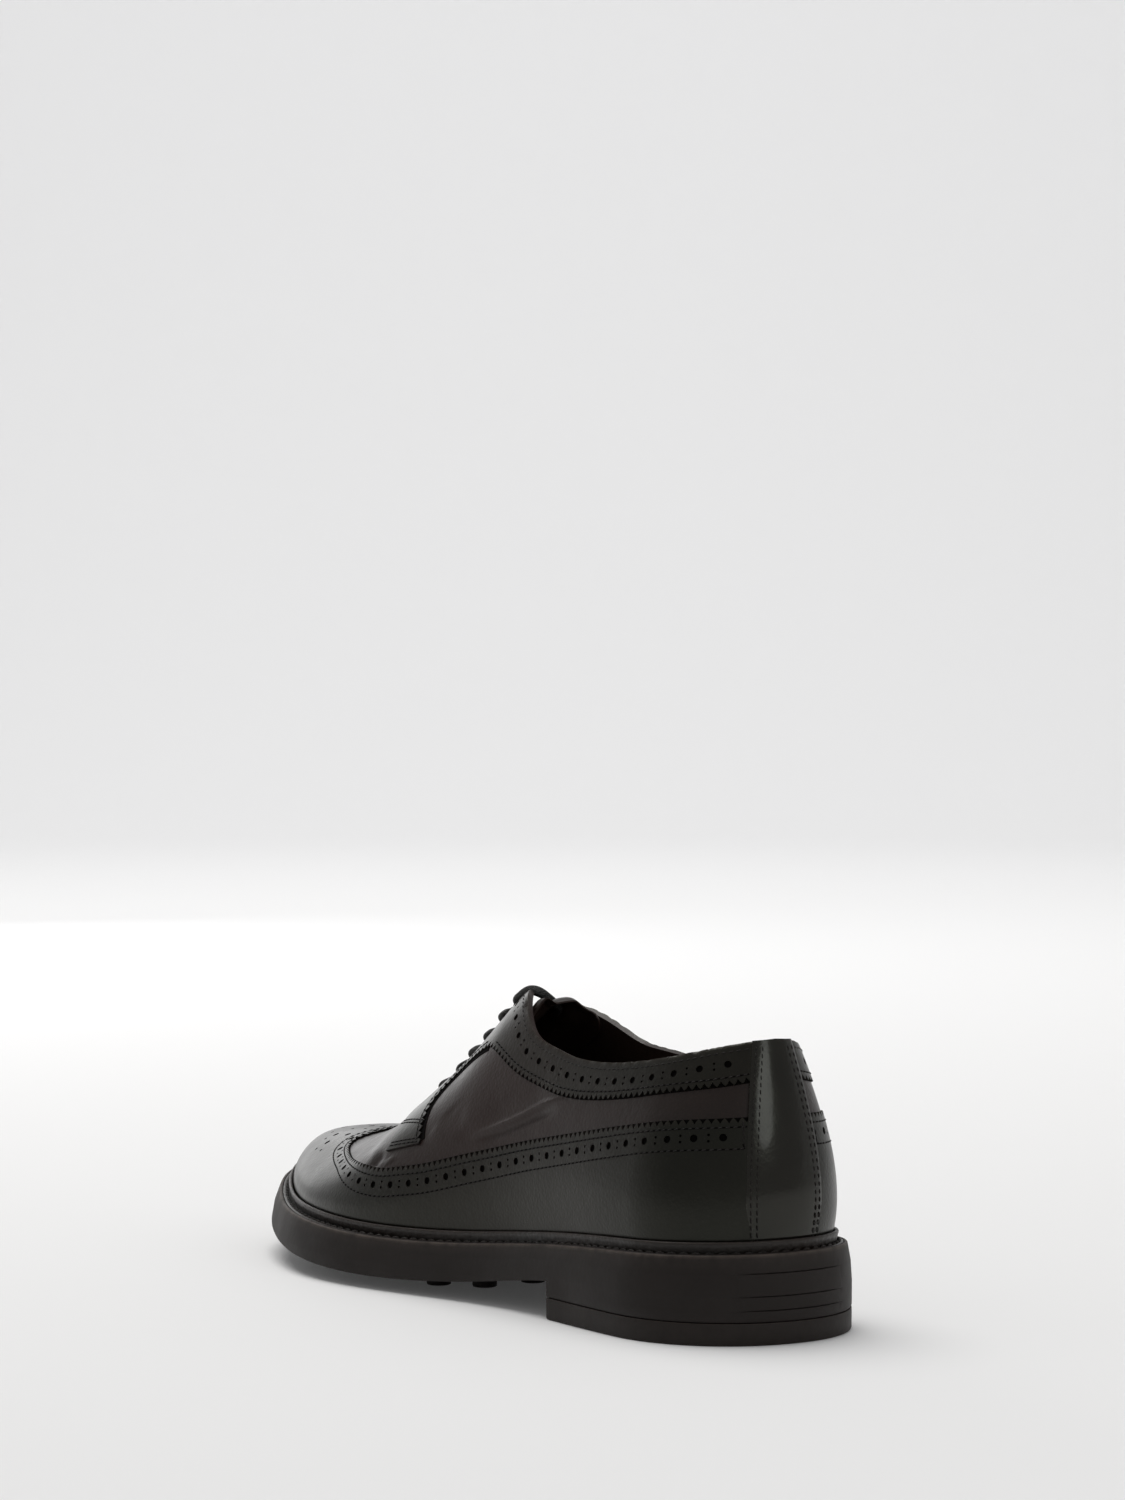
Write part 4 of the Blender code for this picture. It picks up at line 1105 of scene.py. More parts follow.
wingTones = dict(warm=wingWarm, worn=wingWorn)
wing = makePanel("wing_cap", wingPlans, leatherWork["wingStep"], "burnishedCalf", wingTones)
finishPiece(wing, "upper_leather", "upper")
# painted shade: dark discs in the wing's punched holes
finishPiece(discs("wing_hole_shade", wingSpots), "upper_leather")
# painted shade: a dark strip below the wing's pinked edge, showing in its notches
wingStrips = []
for side in (1, -1):
    shown = (wingFull[:, 0] > wingCap["pinkedShadeU"]) & (wingFull[:, 1] > wingCap["pinkedShadeG"])
    inner = wingFull[shown][::3]
    wingStrips.append((inner, side, -pinking["showing"], pinking["pinkedShade"], 0.0, pinking["height"]))
finishPiece(shadeStrips("wing_pinkedShade", wingStrips), "upper_leather")

# the collar band, eyestay and tab, one panel on each side
print("band: collar, eyestay and tab")
bandPanel = dict(
    strapLap=0.048, spacing=1.2, holesBelow=0.0064, bigRadius=0.00120, bigPitch=0.0092, smallRadius=0.00045,
    pairApart=0.0020, bigPoints=12, smallPoints=6, firstHole=0.004, rowU=(0.080, 0.4635),
    lowSeam=0.0026, topSeam=0.0024, staySeam=0.0024, stayShadow=0.0015, pinkedShadeU=0.056,
    eyeletG=0.235, eyeletRadius=0.0017, edgeRound=0.0007, rims=(0.0004, 0.0010),
    frontSteps=26, topPitch=0.0011, pairGap=0.0013,
    warm=(0.25, 0.4, 0.42, 0.09), worn=0.5, wornReach=0.0012,
    tabBars=(((0.5375, 0.610), (0.578, 0.522)), ((0.5315, 0.688), (0.570, 0.652))),
)
laceForm = dict(
    firstU=0.479, lastU=0.585, count=6, innerAhead=0.010, halfWidth=0.0026, narrow=0.0013, halfThick=0.0010,
    rise=0.0006, under=0.0036, steps=5, sides=14, endAhead=0.006, endG=(0.27, 0.26),
    barFrom=0.012, hole=(0.002, -0.0006), crossing=(0.25, 0.5, 0.75),
    arch=(  # u ahead of the first eyelet, g, height over the facing, share of the full width
        (0.0000, 0.240, -0.0020, 0.5), (0.0012, 0.228, -0.0004, 0.8), (-0.0010, 0.214, -0.0006, 0.8),
        (-0.0045, 0.200, -0.0008, 0.8), (-0.0080, 0.188, -0.0018, 0.8), (-0.0105, 0.177, -0.0040, 0.8),
        (-0.0115, 0.166, -0.0072, 0.7), (-0.0095, 0.130, -0.0108, 0.6), (-0.0050, 0.040, -0.0128, 0.5),
        (0.0020, -0.060, -0.0128, 0.5), (0.0080, -0.150, -0.0105, 0.5), (0.0100, -0.220, -0.0075, 0.5),
    ),
)


def eyelets(side):
    outer = np.linspace(laceForm["firstU"], laceForm["lastU"], laceForm["count"])
    ahead = np.linspace(laceForm["innerAhead"], 0, laceForm["count"]) if side < 0 else 0.0
    return np.stack([outer + ahead, np.full(laceForm["count"], bandPanel["eyeletG"])], -1)


# marks along the band: collar to its peak, facing to the tab's back corner, tab
bandMarks = np.concatenate([
    np.linspace(0.4, 8, 420),
    np.linspace(8, 11, 260)[1:],
    np.linspace(11, 12, 40)[1:],
])


def bandEdges(side):
    low = lapLine(bandLine(bandMarks), bandPanel["strapLap"])
    top = lapLine(topLine(bandMarks, side), bandPanel["strapLap"])
    return low, top


def bandCorners(low):  # where the tab's back corner and the collar's peak lie on the band's lower edge
    return [int(np.argmin(np.linalg.norm(low - np.array(patternRows[mark][4:6]), axis=1)))
            for mark in (patternMarks["tabBack"], patternMarks["peak"])]


def bandPlan(side):
    low, top = bandEdges(side)
    corner, peak = bandCorners(low)
    parts = []
    for part in (low[:peak + 1], low[peak:corner + 1]):
        edge, notch = pinked(part, side)
        notch[0] = notch[-1] = pinking["depth"]
        parts.append(moved(edge, side, -towardSole(edge, side) * notch[:, None]))
    low = np.concatenate([parts[0], parts[1][1:], low[corner + 1:]])
    front = np.linspace(low[-1], top[-1], bandPanel["frontSteps"])[1:]
    topDense = spaced(top, side, bandPanel["topPitch"])
    outline = np.concatenate([low, front, topDense[::-1][1:]])
    rowStart, rowEnd = bandPanel["rowU"]
    row = shifted(top[top[:, 0] < rowEnd], side, bandPanel["holesBelow"])
    spots = holeRow(row[row[:, 0] > rowStart], side, bandPanel)
    spots += [(spot, bandPanel["eyeletRadius"]) for spot in eyelets(side)]
    rims = [shifted(top, side, distance)[4:-4:3] for distance in bandPanel["rims"]]
    return outline, spots, rims


bandPlans, bandSpots = {}, []
for side in (1, -1):
    outline, spots, rims = bandPlan(side)
    holes = cutHoles(spots, side, bandPanel)
    bandPlans[side] = cutPanel(outline, holes, bandPanel["spacing"], rims)
    bandSpots.append((spots, side))
    print("band side", side, "points", len(bandPlans[side][0]), "holes", len(holes))


def nearTop(flat, side, reach):  # 1 at the band's top edge, 0 from the reach on
    _low, top = bandEdges(side)
    return np.clip(1 - lineDistance(flat, side, top[::3]) / reach, 0, 1)


def bandTop(flat, side):  # rounded over where the leather is folded at the top edge
    return leatherWork["bandStep"] * (1 - 0.75 * nearTop(flat, side, bandPanel["edgeRound"]) ** 2)


def bandWarm(flat, side):
    return hill(flat[:, 0], *bandPanel["warm"])


def bandWorn(flat, side):
    return bandPanel["worn"] * nearTop(flat, side, bandPanel["wornReach"])


bandTones = dict(warm=bandWarm, worn=bandWorn)
band = makePanel("collar_and_eyestay", bandPlans, bandTop, "burnishedCalf", bandTones)
finishPiece(band, "upper_leather", "upper")
# painted shade: dark discs in the band's punched holes
finishPiece(discs("band_hole_shade", bandSpots), "upper_leather")
# painted shade: dark strips below the collar's pinked edge and along the eyestay's edge
bandStrips = []
for side in (1, -1):
    low, _top = bandEdges(side)
    corner, peak = bandCorners(low)
    collar = low[:peak]
    collar = collar[collar[:, 0] > bandPanel["pinkedShadeU"]][::3]
    stay = low[peak + 2:corner - 2:3]
    # past the eyestay's edge the strip reaches out as the eyestay's painted shadow
    for line, beyond in ((collar, pinking["showing"]), (stay, bandPanel["stayShadow"])):
        bandStrips.append((line, side, beyond, -pinking["pinkedShade"], 0.0, pinking["height"]))
finishPiece(shadeStrips("band_pinkedShade", bandStrips), "upper_leather")

# the heel strap, over the ends of wing and band
print("heel strap")
heelStrap = dict(
    edgeU=0.058, lean=0.0038, topG=(0.470, 0.476), edgeSteps=(60, 16, 59, 16), spacing=1.3,
    tuckFrom=0.86, tuckRun=0.10, thinRun=0.006, thinner=0.0002, warm=0.1,
    seams=(0.0014, 0.0034), seamG=(0.985, 0.49), seamSteps=120,
)


def strapEdge(g):
    return np.stack([heelStrap["edgeU"] + heelStrap["lean"] * (1 - g), g], -1)


def strapPlan():
    backG, frontG = heelStrap["topG"]
    edgeSteps, topSteps, backSteps, bottomSteps = heelStrap["edgeSteps"]
    edge = strapEdge(np.linspace(1, frontG, edgeSteps))
    across = np.linspace(edge[-1, 0], 0, topSteps)[1:]
    topEdge = np.stack([across, np.interp(across, (0, edge[-1, 0]), (backG, frontG))], -1)
    back = np.linspace((0, backG), (0, 1), backSteps)[1:]
    bottom = np.linspace((0, 1), (heelStrap["edgeU"], 1), bottomSteps)[1:-1]
    return np.concatenate([edge, topEdge, back, bottom])


def strapTop(flat, side):
    tuck = smoothstep((flat[:, 1] - heelStrap["tuckFrom"]) / heelStrap["tuckRun"])
    step = leatherWork["strapStep"] + (leatherWork["wingStep"] - leatherWork["strapStep"]) * tuck
    thin = np.clip((flat[:, 0] - heelStrap["edgeU"] + heelStrap["thinRun"]) / heelStrap["thinRun"], 0, 1)
    return step - heelStrap["thinner"] * thin**2


strapPlans = {side: cutPanel(strapPlan(), [], heelStrap["spacing"]) for side in (1, -1)}
strapTones = dict(warm=heelStrap["warm"], worn=0.0)
strap = makePanel("heel_strap", strapPlans, strapTop, "heelCalf", strapTones)
finishPiece(strap, "upper_leather", "upper")

# the seams of the upper
print("seams")


seamForm = dict(
    sink=0.00008, grooveHalf=0.00024, grooveRise=0.00004, grooveDepth=0.0003,
    wingU=0.060, wingG=0.004, collarU=0.060, topU=0.062, barSteps=24,
)


def seamGroup():  # stitches, and strips of painted shade in the grooves below them
    places, grooves = [], []
    sink, half = seamForm["sink"], seamForm["grooveHalf"]

    def sew(line, side, step, groove=True):
        lift = step + sink
        places.append(stitchPlaces(line, side, lift))
        if groove:
            heights = lift - seamForm["grooveDepth"], lift - sink + seamForm["grooveRise"]
            grooves.append((line[::3], side, -half, half, *heights))

    for side in (1, -1):
        for distance in (wingCap["upperSeam"], wingCap["lowerSeam"]):
            line = wingSeam(side, distance)
            line = line[(line[:, 0] > seamForm["wingU"]) & (line[:, 1] > seamForm["wingG"])]
            sew(line, side, leatherWork["wingStep"])
        low, top = bandEdges(side)
        corner, peak = bandCorners(low)
        collar = shifted(low[:peak - 8], side, -bandPanel["lowSeam"])
        sew(collar[collar[:, 0] > seamForm["collarU"]], side, leatherWork["bandStep"])
        stay = shifted(low[peak + 10:corner - 6], side, -bandPanel["staySeam"])
        sew(stay, side, leatherWork["bandStep"])
        topSeam = shifted(top, side, bandPanel["topSeam"])
        sew(topSeam[topSeam[:, 0] > seamForm["topU"]], side, leatherWork["bandStep"], False)
        for bar in bandPanel["tabBars"]:  # two double bars across the tab
            line = np.linspace(*np.array(bar), seamForm["barSteps"])
            for apart in (-0.5, 0.5):
                double = shifted(line, side, apart * bandPanel["pairGap"])
                sew(double, side, leatherWork["bandStep"])
        edge = strapEdge(np.linspace(*heelStrap["seamG"], heelStrap["seamSteps"]))
        back = unit(surfaceSteps(edge[:, 0], edge[:, 1], side)[0])
        for distance in heelStrap["seams"]:
            sew(moved(edge, side, -back * distance), side, leatherWork["strapStep"], False)
    return places, grooves


seamPlaces, seamGrooveShade = seamGroup()
upperSeams = makeThreads(
    "upper_seams", seamPlaces, stitchForm["length"], stitchForm["radius"], "darkThread", stitchForm["slant"],
)
finishPiece(upperSeams, "upper_leather")
# painted shade: dark strips along the seams' grooves
finishPiece(shadeStrips("seam_groove_shade", seamGrooveShade), "upper_leather")

# the tongue
print("tongue")
tongueForm = dict(
    thickness=0.0018, clear=0.0007, columns=44, rows=70, sagG=0.60, tilt=0.35, pinch=0.35,
    lift=0.78, liftFrom=0.16, liftRun=0.14, liftEnd=0.485, liftFade=0.03,
    press=0.0026, pressG=0.17, pressU=(0.452, 0.612), pressFade=0.02, warm=0.5,
)
tongueRows = (  # u, half width in g, how far its middle falls
    (0.447, 0.30, 0.0100),
    (0.450, 0.38, 0.0093),
    (0.457, 0.43, 0.0076),
    (0.470, 0.45, 0.0054),
    (0.490, 0.45, 0.0033),
    (0.515, 0.43, 0.0018),
    (0.545, 0.39, 0.0008),
    (0.575, 0.34, 0.0002),
    (0.600, 0.29, 0.0),
    (0.618, 0.25, 0.0),
)


def makeTongue():
    form = tongueForm
    rows = np.array(tongueRows)
    u = np.linspace(rows[0, 0], rows[-1, 0], form["rows"])
    half, fall = (np.interp(u, rows[:, 0], rows[:, column])[:, None] for column in (1, 2))
    across = np.linspace(-1, 1, form["columns"] + 1)
    g = half * across
    sag = fall * (1 - smoothstep(np.abs(g) / form["sagG"]))
    sag = sag * (1 + form["tilt"] * smoothstep(-g / bandPanel["eyeletG"]))
    upright = smoothstep((form["liftEnd"] - u[:, None]) / form["liftFade"])
    upright = upright * smoothstep((g - form["liftFrom"]) / form["liftRun"])
    sag = sag * (1 - form["lift"] * upright)
    pressed = form["press"] * smoothstep(1 - np.abs(np.abs(g) - bandPanel["eyeletG"]) / form["pressG"])
    pressStart, pressEnd = form["pressU"]
    pressed = pressed * smoothstep((u[:, None] - pressStart) / form["pressFade"])
    pressed = pressed * smoothstep((pressEnd - u[:, None]) / form["pressFade"])
    # rounded edge: the outermost rings of each face lie nearer to the other face
    fromEnds = np.minimum(np.arange(len(u)), np.arange(len(u))[::-1])[:, None]
    rim = np.minimum((1 - np.abs(across))[None] * form["columns"] / 4, fromEnds / 2)
    pinch = form["pinch"] * form["thickness"] * (1 - smoothstep(rim))
    store = PointStore()
    sheets = []
    for depth, sign in ((0.0, 1.0), (form["thickness"], -1.0)):
        inward = leatherWork["wall"] + form["clear"] + depth + pressed + sign * pinch
        sheet = onLast(u[:, None] * np.ones(g.shape), g, -inward)
        sheet[..., 2] -= sag
        sheets.append(store.add(sheet))
    top, low = sheets
    upper = gridFaces(top)
    rest = gridFaces(low)
    for index in (0, -1):
        rest += gridFaces(np.stack([top[index], low[index]]))
        rest += gridFaces(np.stack([top[:, index], low[:, index]]))
    kinds = [0] * len(upper) + [1] * len(rest)
    tones = [("warm", np.full(store.count, form["warm"])), ("worn", np.zeros(store.count))]
    return linkMesh("tongue_leather", store.all(), upper + rest, ["vampCalf", "liningLeather"],
                    kinds, tones, sharp=0.8)


finishPiece(makeTongue(), "upper_leather", "tongue")

# one flat lace, straight bars through six pairs of eyelets, both ends hidden under the facings
print("lace")


def lacePath():  # rows of x, y, z and half width; flat where it shows, narrow in the eyelets and below
    flat, narrow, under = laceForm["halfWidth"], laceForm["narrow"], laceForm["under"]
    clear = leatherWork["bandStep"] + leatherWork["soleGap"] + laceForm["halfThick"]
    outer, inner = eyelets(1)[:, 0], eyelets(-1)[:, 0]
    shown = [row for row in patternRows if patternMarks["peak"] <= row[0] <= patternMarks["tabFront"]]
    opening = np.array([(row[6], row[7]) for row in shown])
    eyeG, endAhead = bandPanel["eyeletG"], laceForm["endAhead"]
    holeG, holeHeight = laceForm["hole"]
    firstEnd, finalEnd = laceForm["endG"]

    def row(u, g, height, width):
        return [*onLast(u, g, height), width]

    path = [row(outer[0] - endAhead, firstEnd, -under, narrow)]
    for number in range(laceForm["count"]):
        u, innerU = outer[number], inner[number]
        gap = float(np.interp(u, opening[:, 0], opening[:, 1]))
        if number == 0:
            bar = []
            for ahead, g, lift, share in laceForm["arch"]:
                bar.append(row(u + ahead, g, clear + lift, flat * share))
        else:
            onFacing = np.linspace(eyeG - laceForm["barFrom"], gap, 3)
            start = [row(u, g, clear, flat) for g in onFacing]
            end = [row(innerU, -g, clear, flat) for g in onFacing[::-1]]
            bridge = []
            for t in np.linspace(0, 1, 7)[1:-1]:
                place = np.array(start[-1]) * (1 - t) + np.array(end[0]) * t
                place[2] += laceForm["rise"] * np.sin(np.pi * t)
                bridge.append(place)
            down = row(u, eyeG + holeG, holeHeight, narrow)
            up = row(innerU, -eyeG - holeG, holeHeight, narrow)
            bar = [down, *start, *bridge, *end, up]
        atOuter = number % 2 == 0
        path += bar if atOuter else bar[::-1]
        if number < laceForm["count"] - 1:
            side, eyes = (-1, inner) if atOuter else (1, outer)
            here, there = eyes[number:number + 2]
            for t in laceForm["crossing"]:
                g = side * (eyeG + laceForm["barFrom"])
                path.append(row(here + (there - here) * t, g, -under, narrow))
        else:
            path.append(row(u + endAhead, finalEnd, -under, narrow))
    return np.array(path)


def makeLace():
    rows = lacePath()
    rows = np.concatenate([rows[:1], rows, rows[-1:]])
    steps = laceForm["steps"]
    centre = []
    for before, here, after in zip(rows, rows[1:], rows[2:]):
        for t in np.arange(steps) / steps:
            centre.append(0.5 * (1 - t) ** 2 * before + (0.5 + t * (1 - t)) * here + 0.5 * t * t * after)
    centre = np.array(centre)
    spots, width = centre[:, :3], centre[:, 3]
    along = unit(np.gradient(spots, axis=0))
    print("lace length in metres, unrolled:", round(float(lengthsTo(spots)[-1]), 3))
    wide = np.array([0.7, 0.0, -0.7])
    turn = np.arange(laceForm["sides"]) * 2 * np.pi / laceForm["sides"]
    store = PointStore()
    rings = []
    for spot, ahead, half in zip(spots, along, width):
        wide = unit(wide - dot(wide, ahead) * ahead)
        thick = np.cross(ahead, wide)
        rings.append(store.add(spot + np.cos(turn)[:, None] * wide * half
                               + np.sin(turn)[:, None] * thick * laceForm["halfThick"]))
    faces = ringFaces(rings) + [tuple(rings[0][::-1]), tuple(rings[-1])]
    return linkMesh("lace", store.all(), faces, ["laceCotton"], sharp=1.2)


laceBars = [f"lace_bar_{number + 1}" for number in range(laceForm["count"])]
finishPiece(makeLace(), "lace_cord", *laceBars)

# the welt: a flange with stitches in its groove and a raised lip against the upper
print("welt")
weltForm = dict(
    flange=0.0016, lipHeight=0.0038, lipWidth=0.0012, lipClear=0.0004, stitchPitch=0.0042,
    stitchLength=0.0034, stitchRadius=0.00048, stitchRise=0.0004, slant=0.12, seamFromRim=0.0013,
    rimSlope=0.0005,
)


def lipOut(height, thickness):
    def out(at, side):
        leather = leatherWork["wingStep"] + weltForm["lipClear"]
        return besideLast(at, side, max(height, 0.0)) + leather + thickness

    return out


def fromRim(inward):
    def out(at, _side):
        return soleEdge(at) - soleForm["rimWidth"] - leatherWork["soleGap"] - inward

    return out


def makeWelt():
    floor = -soleForm["seatDrop"] + leatherWork["soleGap"]
    level = floor + weltForm["flange"]
    tall, wide = weltForm["lipHeight"], weltForm["lipWidth"]
    profile = (  # distance from the last's edge, height above the seat, wear
        (lipOut(floor, 0.0), floor, 0.0),
        (fromRim(0.0), floor, 0.0),
        (fromRim(0.0), level + 0.0001, 0.3),
        (fromRim(weltForm["rimSlope"]), level + 0.0003, 0.2),
        (lipOut(level, wide + 0.0014), level + 0.0001, 0.0),
        (lipOut(level, wide + 0.0007), level - 0.0003, 0.0),
        (lipOut(level, wide + 0.0002), level - 0.0002, 0.0),
        (lipOut(level + 0.001, wide + 0.00005), level + 0.0006, 0.0),
        (lipOut(tall / 2, wide + 0.0001), tall * 0.55, 0.1),
        (lipOut(tall, wide), tall - 0.0006, 0.3),
        (lipOut(tall, wide - 0.00025), tall - 0.0002, 0.7),
        (lipOut(tall, wide - 0.0006), tall, 0.5),
        (lipOut(tall, 0.0002), tall - 0.0001, 0.2),
        (lipOut(tall, -0.0002), tall - 0.0005, 0.0),
        (lipOut(tall / 2, 0.0), tall / 2, 0.0),
    )
    store = PointStore()
    rings, worn = [], []
    for out, height, wear in profile:
        loop = planLoop(out)
        loop[:, 2] = seatHeight(loop[:, 2]) + height
        rings.append(store.add(loop))
        worn.append(np.full(len(loop), wear))
    tones = [("warm", np.zeros(store.count)), ("worn", np.concatenate(worn))]
    faces = ringFaces(rings + [rings[0]])
    return linkMesh("storm_welt", store.all(), faces, ["weltLeather"], attributes=tones, sharp=1.1)


def weltStitches():
    loop = planLoop(fromRim(weltForm["seamFromRim"]))
    loop[:, 2] = seatHeight(loop[:, 2]) - soleForm["seatDrop"] + leatherWork["soleGap"] + weltForm["flange"]
    closed = np.concatenate([loop, loop[:1]])
    run = lengthsTo(closed)
    count = int(round(run[-1] / weltForm["stitchPitch"]))
    at = (np.arange(count) + 0.5) * run[-1] / count
    near = 0.0004
    spots, ahead = readAt(at, run, closed), readAt(at + near, run, closed)
    normal = np.tile(np.array([0.0, 0.0, 1.0]), (count, 1))
    return [(spots + normal * weltForm["stitchRise"], unit(ahead - spots), normal)]


finishPiece(makeWelt(), "welt_leather", "welt")
stitched = makeThreads(
    "welt_stitches", weltStitches(), weltForm["stitchLength"], weltForm["stitchRadius"], "weltThread",
    weltForm["slant"],
)
finishPiece(stitched, "welt_leather")

# the sole and its top lift
print("sole")
soleDetail = dict(
    grooves=(0.28, 0.62, 0.83), grooveDepth=0.0005, grooveHalf=0.010, groovesEnd=0.018, groovesFade=0.016,
    grooveRows=((1.0, 0.0), (0.5, 0.85), (0.0, 1.0), (-0.5, 0.85), (-1.0, 0.0)),  # shares of half, depth
    rimRound=0.0006, footRound=0.0011, liftRound=0.0008,
    rimRows=(  # shares of the rounding: down, inward; wear
        (2.2, 0.0, 0.15), (1.0, 0.0, 0.6), (0.35, 0.1, 1.0), (0.0, 0.5, 1.0), (0.0, 1.1, 0.9),
    ),
    studRadius=0.0042, studHeight=0.0042, studSides=28, studSink=0.0015, studTouch=0.0006,
    studEdge=((0.0008, 0.0), (0.0002, 0.0002), (0.0, 0.0008)),  # above its foot, less radius
)
studRows = (  # share of the length, shares of the half width where its studs stand
    (0.50, (-0.52, 0.0, 0.52)),
    (0.565, (-0.62, -0.21, 0.21, 0.62)),
    (0.635, (-0.66, -0.22, 0.22, 0.66)),
    (0.705, (-0.62, -0.21, 0.21, 0.62)),
    (0.775, (-0.56, 0.0, 0.56)),
    (0.845, (-0.48, 0.0, 0.48)),
)


def blockBottom(at):
    sink = soleForm["blockSink"] * smoothstep((at - soleForm["sinkFrom"]) / soleForm["sinkRun"])
    return soleForm["liftThickness"] + leatherWork["soleGap"] - sink


def sideLoop(depthShare, dent=0.0, drop=0.0, inward=0.0, limit=np.inf):
    def out(at, _side):
        depth = (seatHeight(at) - blockBottom(at)) * depthShare + drop
        fade = smoothstep((soleDetail["groovesEnd"] - at) / soleDetail["groovesFade"])
        return soleEdge(at) + soleFlare(at, depth) - dent * fade - inward

    loop = planLoop(out, limit)
    rim = seatHeight(loop[:, 2])
    loop[:, 2] = rim - (rim - blockBottom(loop[:, 2])) * depthShare - drop
    return loop


def strips(loop):  # faces across a closed loop, from its outer side to its inner side
    count = len(loop)
    half = (count + 1) // 2
    faces = [(loop[0], loop[1], loop[-1])]
    faces += [(loop[i], loop[i + 1], loop[count - i - 1], loop[count - i]) for i in range(1, half - 1)]
    if count % 2 == 0:
        faces.append((loop[half - 1], loop[half], loop[half + 1]))
    return faces


def makeStack(name, loops, finish, wornRows):
    store = PointStore()
    numbers = np.stack([store.add(loop) for loop in loops])
    faces = ringFaces(numbers) + strips(numbers[0]) + strips(numbers[-1])
    worn = np.repeat(np.array(wornRows, float), len(loops[0]))
    tones = [("warm", np.zeros(store.count)), ("worn", worn)]
    return linkMesh(name, store.all(), faces, [finish], attributes=tones, sharp=0.75)


def archCutter():
    at = np.linspace(soleForm["breast"], undersideRows[-1][0], 60)
    line = [(a * lastForm["length"], float(spline(undersideRows, a))) for a in at]
    profile = [(line[0][0], -0.01), *line, (line[-1][0], -0.01)]
    half = lastForm["ballWidth"]
    points = [(x, y, z) for y in (-half, half) for x, z in profile]
    count = len(profile)
    faces = [tuple(range(count)), tuple(i + count for i in reversed(range(count)))]
    faces += [(i, i + count, (i + 1) % count + count, (i + 1) % count) for i in range(count)]
    return linkMesh("arch_cutter", points, faces, [])


def studShapes():
    store = PointStore()
    faces = []
    sides = soleDetail["studSides"]
    turn = np.arange(sides) * 2 * np.pi / sides
    for at, shares in studRows:
        under = float(spline(undersideRows, at))
        foot = under - soleDetail["studHeight"]
        foot = 0.0 if foot < soleDetail["studTouch"] else foot
        profile = [(under + soleDetail["studSink"], 0.0)]
        profile += [(foot + above, less) for above, less in soleDetail["studEdge"]]
        for part in shares:
            x = at * lastForm["length"]
            y = part * float(halfWidth(at, 1.0 if part >= 0 else -1.0))
            rings = []
            for z, less in profile:
                radius = soleDetail["studRadius"] - less
                ring = np.stack([x + radius * np.cos(turn), y + radius * np.sin(turn), np.full(sides, z)], -1)
                rings.append(store.add(ring))
            for low, high in zip(rings, rings[1:]):
                faces += [(low[k - 1], low[k], high[k], high[k - 1]) for k in range(sides)]
            faces += [tuple(rings[0]), tuple(rings[-1][::-1])]
    return linkMesh("stud_shapes", store.all(), faces, [])


def makeSole():
    loops = [sideLoop(1.0, inward=soleDetail["footRound"] * 0.3), sideLoop(0.97)]
    worn = [0.0, 0.0]
    for groove in sorted(soleDetail["grooves"], reverse=True):
        for part, dent in soleDetail["grooveRows"]:
            depth = groove + soleDetail["grooveHalf"] * part
            loops.append(sideLoop(depth, dent=soleDetail["grooveDepth"] * dent))
            worn.append(0.0)
    rimRound = soleDetail["rimRound"]
    for drop, inward, wear in soleDetail["rimRows"]:
        loops.append(sideLoop(0.0, drop=rimRound * drop, inward=rimRound * inward))
        worn.append(wear)
    loops.append(sideLoop(0.0, inward=soleForm["rimWidth"]))
    loops.append(sideLoop(0.0, inward=soleForm["rimWidth"]))
    loops[-1][:, 2] -= soleForm["seatDrop"]
    sole = makeStack("rubber_sole", loops, "soleRubber", worn + [0.4, 0.0])
    for shape, operation in ((archCutter(), "DIFFERENCE"), (studShapes(), "UNION")):
        join = sole.modifiers.new(shape.name, "BOOLEAN")
        join.operation = operation
        join.object = shape
        join.solver = "EXACT"
        bpy.context.view_layer.update()
        graph = bpy.context.evaluated_depsgraph_get()
        result = bpy.data.meshes.new_from_object(sole.evaluated_get(graph))
        sole.modifiers.clear()
        sole.data = result
        bpy.data.objects.remove(shape, do_unlink=True)
    sole.data.shade_smooth()
    sole.data.set_sharp_from_angle(angle=0.6)
    return sole


def makeTopLift():
    stations = np.linspace(0, 1, soleForm["stations"])
    final = int(np.flatnonzero(shareOf(stations) >= soleForm["breast"])[0])
    around = 2 * soleForm["stations"] - 2  # points of a whole loop
    keep = np.r_[0:final + 1, around - final:around]
    loops = []
    curve = soleDetail["liftRound"]
    top = soleForm["liftThickness"]
    rows = (  # height, how far inward
        (0.0, curve), (curve * 0.3, curve * 0.3), (curve, 0.0),
        (top - curve * 0.5, 0.0), (top - curve * 0.1, curve * 0.12), (top, curve * 0.4),
    )
    for height, inward in rows:
        loop = sideLoop(1.0, inward=inward, limit=soleForm["breast"] * lastForm["length"])[keep]
        loop[:, 2] = height
        loops.append(loop)
    return makeStack("heel_top_lift", loops, "soleRubber", [0.5, 0.4, 0.1, 0.1, 0.4, 0.2])


finishPiece(makeSole(), "sole_rubber", "outsole")
finishPiece(makeTopLift(), "sole_rubber", "top_lift")

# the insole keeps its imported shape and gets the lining's finish
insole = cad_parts["insole"]
insole.data.materials.clear()
insole.data.materials.append(finishes["liningLeather"])

# camera, floor and light
print("camera, floor and light")
cameraPlace = dict(
    turn=np.radians(33.15), down=np.radians(6.49), distance=1.6, aim=(0.145, 0.0, 0.05),
    photoWidth=1125, photoHeight=1500, pixelsPerMetre=2942, middleX=533.05, middleY=1139.4, sensor=36.0,
    farthest=50.0,
)


